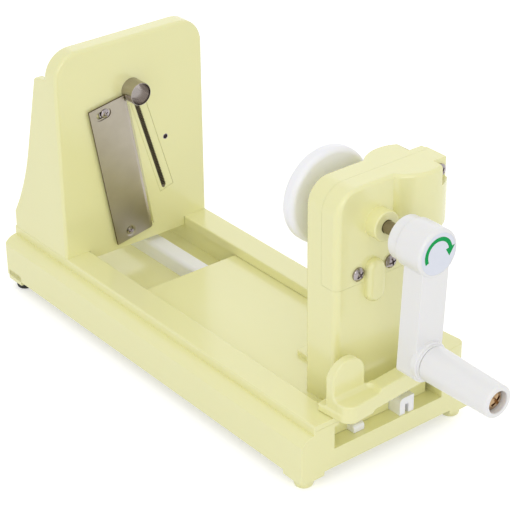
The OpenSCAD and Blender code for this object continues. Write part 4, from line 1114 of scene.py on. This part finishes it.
def make_grip():
    """The handle that turns on its axle, tapered, with a deep recess in its end."""
    back = ARM_FRONT + COLLAR_LEN + RUN_GAP
    end = back + GRIP_LEN
    root_r, end_r, bore = 10.6, 9.6, 3.1
    recess_r, recess_d, lip = 6.5, 5.5, 0.8
    y = CRANK_R * math.sin(CRANK_REST)
    z = AXIS_H - CRANK_R * math.cos(CRANK_REST)
    profile = [(back, bore)] + soft_rim(back, root_r, 0.6, 5, False) + soft_rim(end, end_r, 1.5, 7)
    profile += [(end - lip + u, recess_r + lip - v) for u, v in arc((0, 0), lip, 0, 90, 5)]
    profile += [(end - recess_d, recess_r), (end - recess_d, bore), (back, bore)]
    finished(turned("grip", profile, y, z), white, "grip", ["grip_sleeve"])
    axle = pan_screw("grip_screw", end - 5.25, y, z, 50, head_r=5.8, head_h=3.6, turn=38, shank_r=3.0)
    finished(axle, brass, "spindle", ["grip_axle"])


make_base()
make_feet()
make_stand()
make_comb_holder()
make_comb()
make_blade()
make_core_tube()
make_screws()
make_column()
make_tray()
make_lever()
make_crank()
make_arrow()
make_disc()
make_grip()


# Finishes for the CAD nodes that stay

STAYING = {
    # Painted light: the guide rail and slide shoe take the lighter copy of the white moulding.
    "guide_rail": painted_light_white,
    "rail_screws": screw_steel,
    "stand_screws": screw_steel,
    "blade_spacers": screw_steel,
    "insert_nut": screw_steel,
    "slide_block": cream,
    "slide_shoe": painted_light_white,
    "column_screws": screw_steel,
    "tongue_screw": screw_steel,
    "front_bush": white,
    "rear_bush": white,
    "lever_pin": screw_steel,
    "drive_shaft": shaft_steel,
    "holding_prongs": screw_steel,
    "disc_screw": screw_steel,
    "hub_grub_screw": screw_steel,
    "hub_label": pale_film,
}
for node, finish in STAYING.items():
    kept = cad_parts[node]
    kept.data.materials.clear()
    kept.data.materials.append(finish)


# Floor, light and camera


def make_floor():
    """A wide pale floor that curves up behind the object."""
    reach = 3.0
    bend = 0.6
    rise = 2.0
    turns = (0.4, 0.8, 1.2, 1.5708)
    run = [(-reach, 0), (reach - bend, 0)]
    run += [(reach - bend + bend * math.sin(a), bend - bend * math.cos(a)) for a in turns]
    run += [(reach, rise)]
    floor = drawn("floor", [Vector((0, y, z)) for y, z in run])
    bpy.ops.mesh.select_all(action="SELECT")
    bpy.ops.mesh.extrude_region_move(TRANSFORM_OT_translate={"value": (2 * reach, 0, 0)})
    bpy.ops.object.mode_set(mode="OBJECT")
    floor.data.transform(Matrix.Translation((-reach, 0, 0)))
    floor.data.transform(Matrix.Rotation(math.radians(51.7), 4, "Z"))
    only(floor)
    bpy.ops.object.shade_smooth()
    finish, tree, shader = new_finish("floor_paper", (0.86, 0.86, 0.86), 0.9)
    pale_floor(tree, shader)
    floor.data.materials.append(finish)
    floor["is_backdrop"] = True


def background_rays(tree):
    """One for what the camera, mirrors and clear things see directly, and nought for light."""
    path = tree.nodes.new("ShaderNodeLightPath")
    total = path.outputs["Is Camera Ray"]
    for ray in ("Is Glossy Ray", "Is Transmission Ray"):
        larger = tree.nodes.new("ShaderNodeMath")
        larger.operation = "MAXIMUM"
        tree.links.new(total, larger.inputs[0])
        tree.links.new(path.outputs[ray], larger.inputs[1])
        total = larger.outputs["Value"]
    return total


def pale_floor(tree, shader):
    """Shows the paper white, yet keeps the object's shadow."""
    glow = tree.nodes.new("ShaderNodeEmission")
    glow.inputs["Strength"].default_value = 0.45
    both = tree.nodes.new("ShaderNodeAddShader")
    pick = tree.nodes.new("ShaderNodeMixShader")
    out = tree.nodes["Material Output"]
    tree.links.new(shader.outputs["BSDF"], both.inputs[0])
    tree.links.new(glow.outputs["Emission"], both.inputs[1])
    tree.links.new(background_rays(tree), pick.inputs[0])
    tree.links.new(shader.outputs["BSDF"], pick.inputs[1])
    tree.links.new(both.outputs["Shader"], pick.inputs[2])
    tree.links.new(pick.outputs["Shader"], out.inputs["Surface"])


def make_tent():
    """An even white surround: plain light for the object, white where it is seen."""
    world = bpy.data.worlds.new("tent")
    bpy.context.scene.world = world
    world.use_nodes = True
    tree = world.node_tree
    light = tree.nodes["Background"]
    light.inputs["Color"].default_value = (1, 1, 1, 1)
    light.inputs["Strength"].default_value = 0.79
    seen = tree.nodes.new("ShaderNodeBackground")
    seen.inputs["Color"].default_value = (1, 1, 1, 1)
    pick = tree.nodes.new("ShaderNodeMixShader")
    tree.links.new(background_rays(tree), pick.inputs[0])
    tree.links.new(light.outputs["Background"], pick.inputs[1])
    tree.links.new(seen.outputs["Background"], pick.inputs[2])
    tree.links.new(pick.outputs["Shader"], tree.nodes["World Output"].inputs["Surface"])


def softbox(name, place, size, power, aim):
    """A square studio light that points at a place."""
    bpy.ops.object.light_add(type="AREA", location=place)
    lamp = bpy.context.object
    lamp.name = name
    lamp.data.shape = "SQUARE"
    lamp.data.size = size
    lamp.data.energy = power
    lamp.rotation_euler = (Vector(aim) - Vector(place)).to_track_quat("-Z", "Y").to_euler()
    return lamp


def make_light():
    """A main light above, and softer ones from the front, behind and the near side, in the white tent."""
    make_tent()
    aim = (0, 0, 0.08)
    softbox("main_light", (0.25, -0.35, 1.5), size=1.1, power=1.3, aim=aim)
    softbox("front_light", (1.4, -0.7, 0.75), size=0.8, power=3.1, aim=aim)
    softbox("back_light", (-0.9, 0.9, 0.85), size=1.0, power=0.8, aim=aim)
    softbox("side_light", (0.5, -1.5, 0.8), size=1.0, power=1.0, aim=aim)


def make_camera():
    """The photograph's view, level to about half a degree."""
    turn, rise, roll = math.radians(51.706), math.radians(28.947), math.radians(-0.649)
    back = Vector((math.sin(turn) * math.cos(rise), -math.cos(turn) * math.cos(rise), math.sin(rise)))
    right = Vector((math.cos(turn), math.sin(turn), 0))
    up = back.cross(right)
    right_rolled = right * math.cos(roll) + up * math.sin(roll)
    up_rolled = up * math.cos(roll) - right * math.sin(roll)
    bpy.ops.object.camera_add(location=at(635.4, -597.4, 602.8))
    camera = bpy.context.object
    axes = Matrix((right_rolled, up_rolled, back)).transposed()
    camera.rotation_euler = axes.to_euler()
    camera.data.sensor_width = 36.0
    camera.data.lens = 128.57
    camera.data.clip_start = 0.05
    camera.data.clip_end = 20
    bpy.context.scene.camera = camera


make_floor()
make_light()
make_camera()
bpy.context.scene.view_settings.view_transform = "Standard"

sizes = {"cad": [list(corner) for corner in cad_box], "visual": [list(corner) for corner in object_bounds()]}
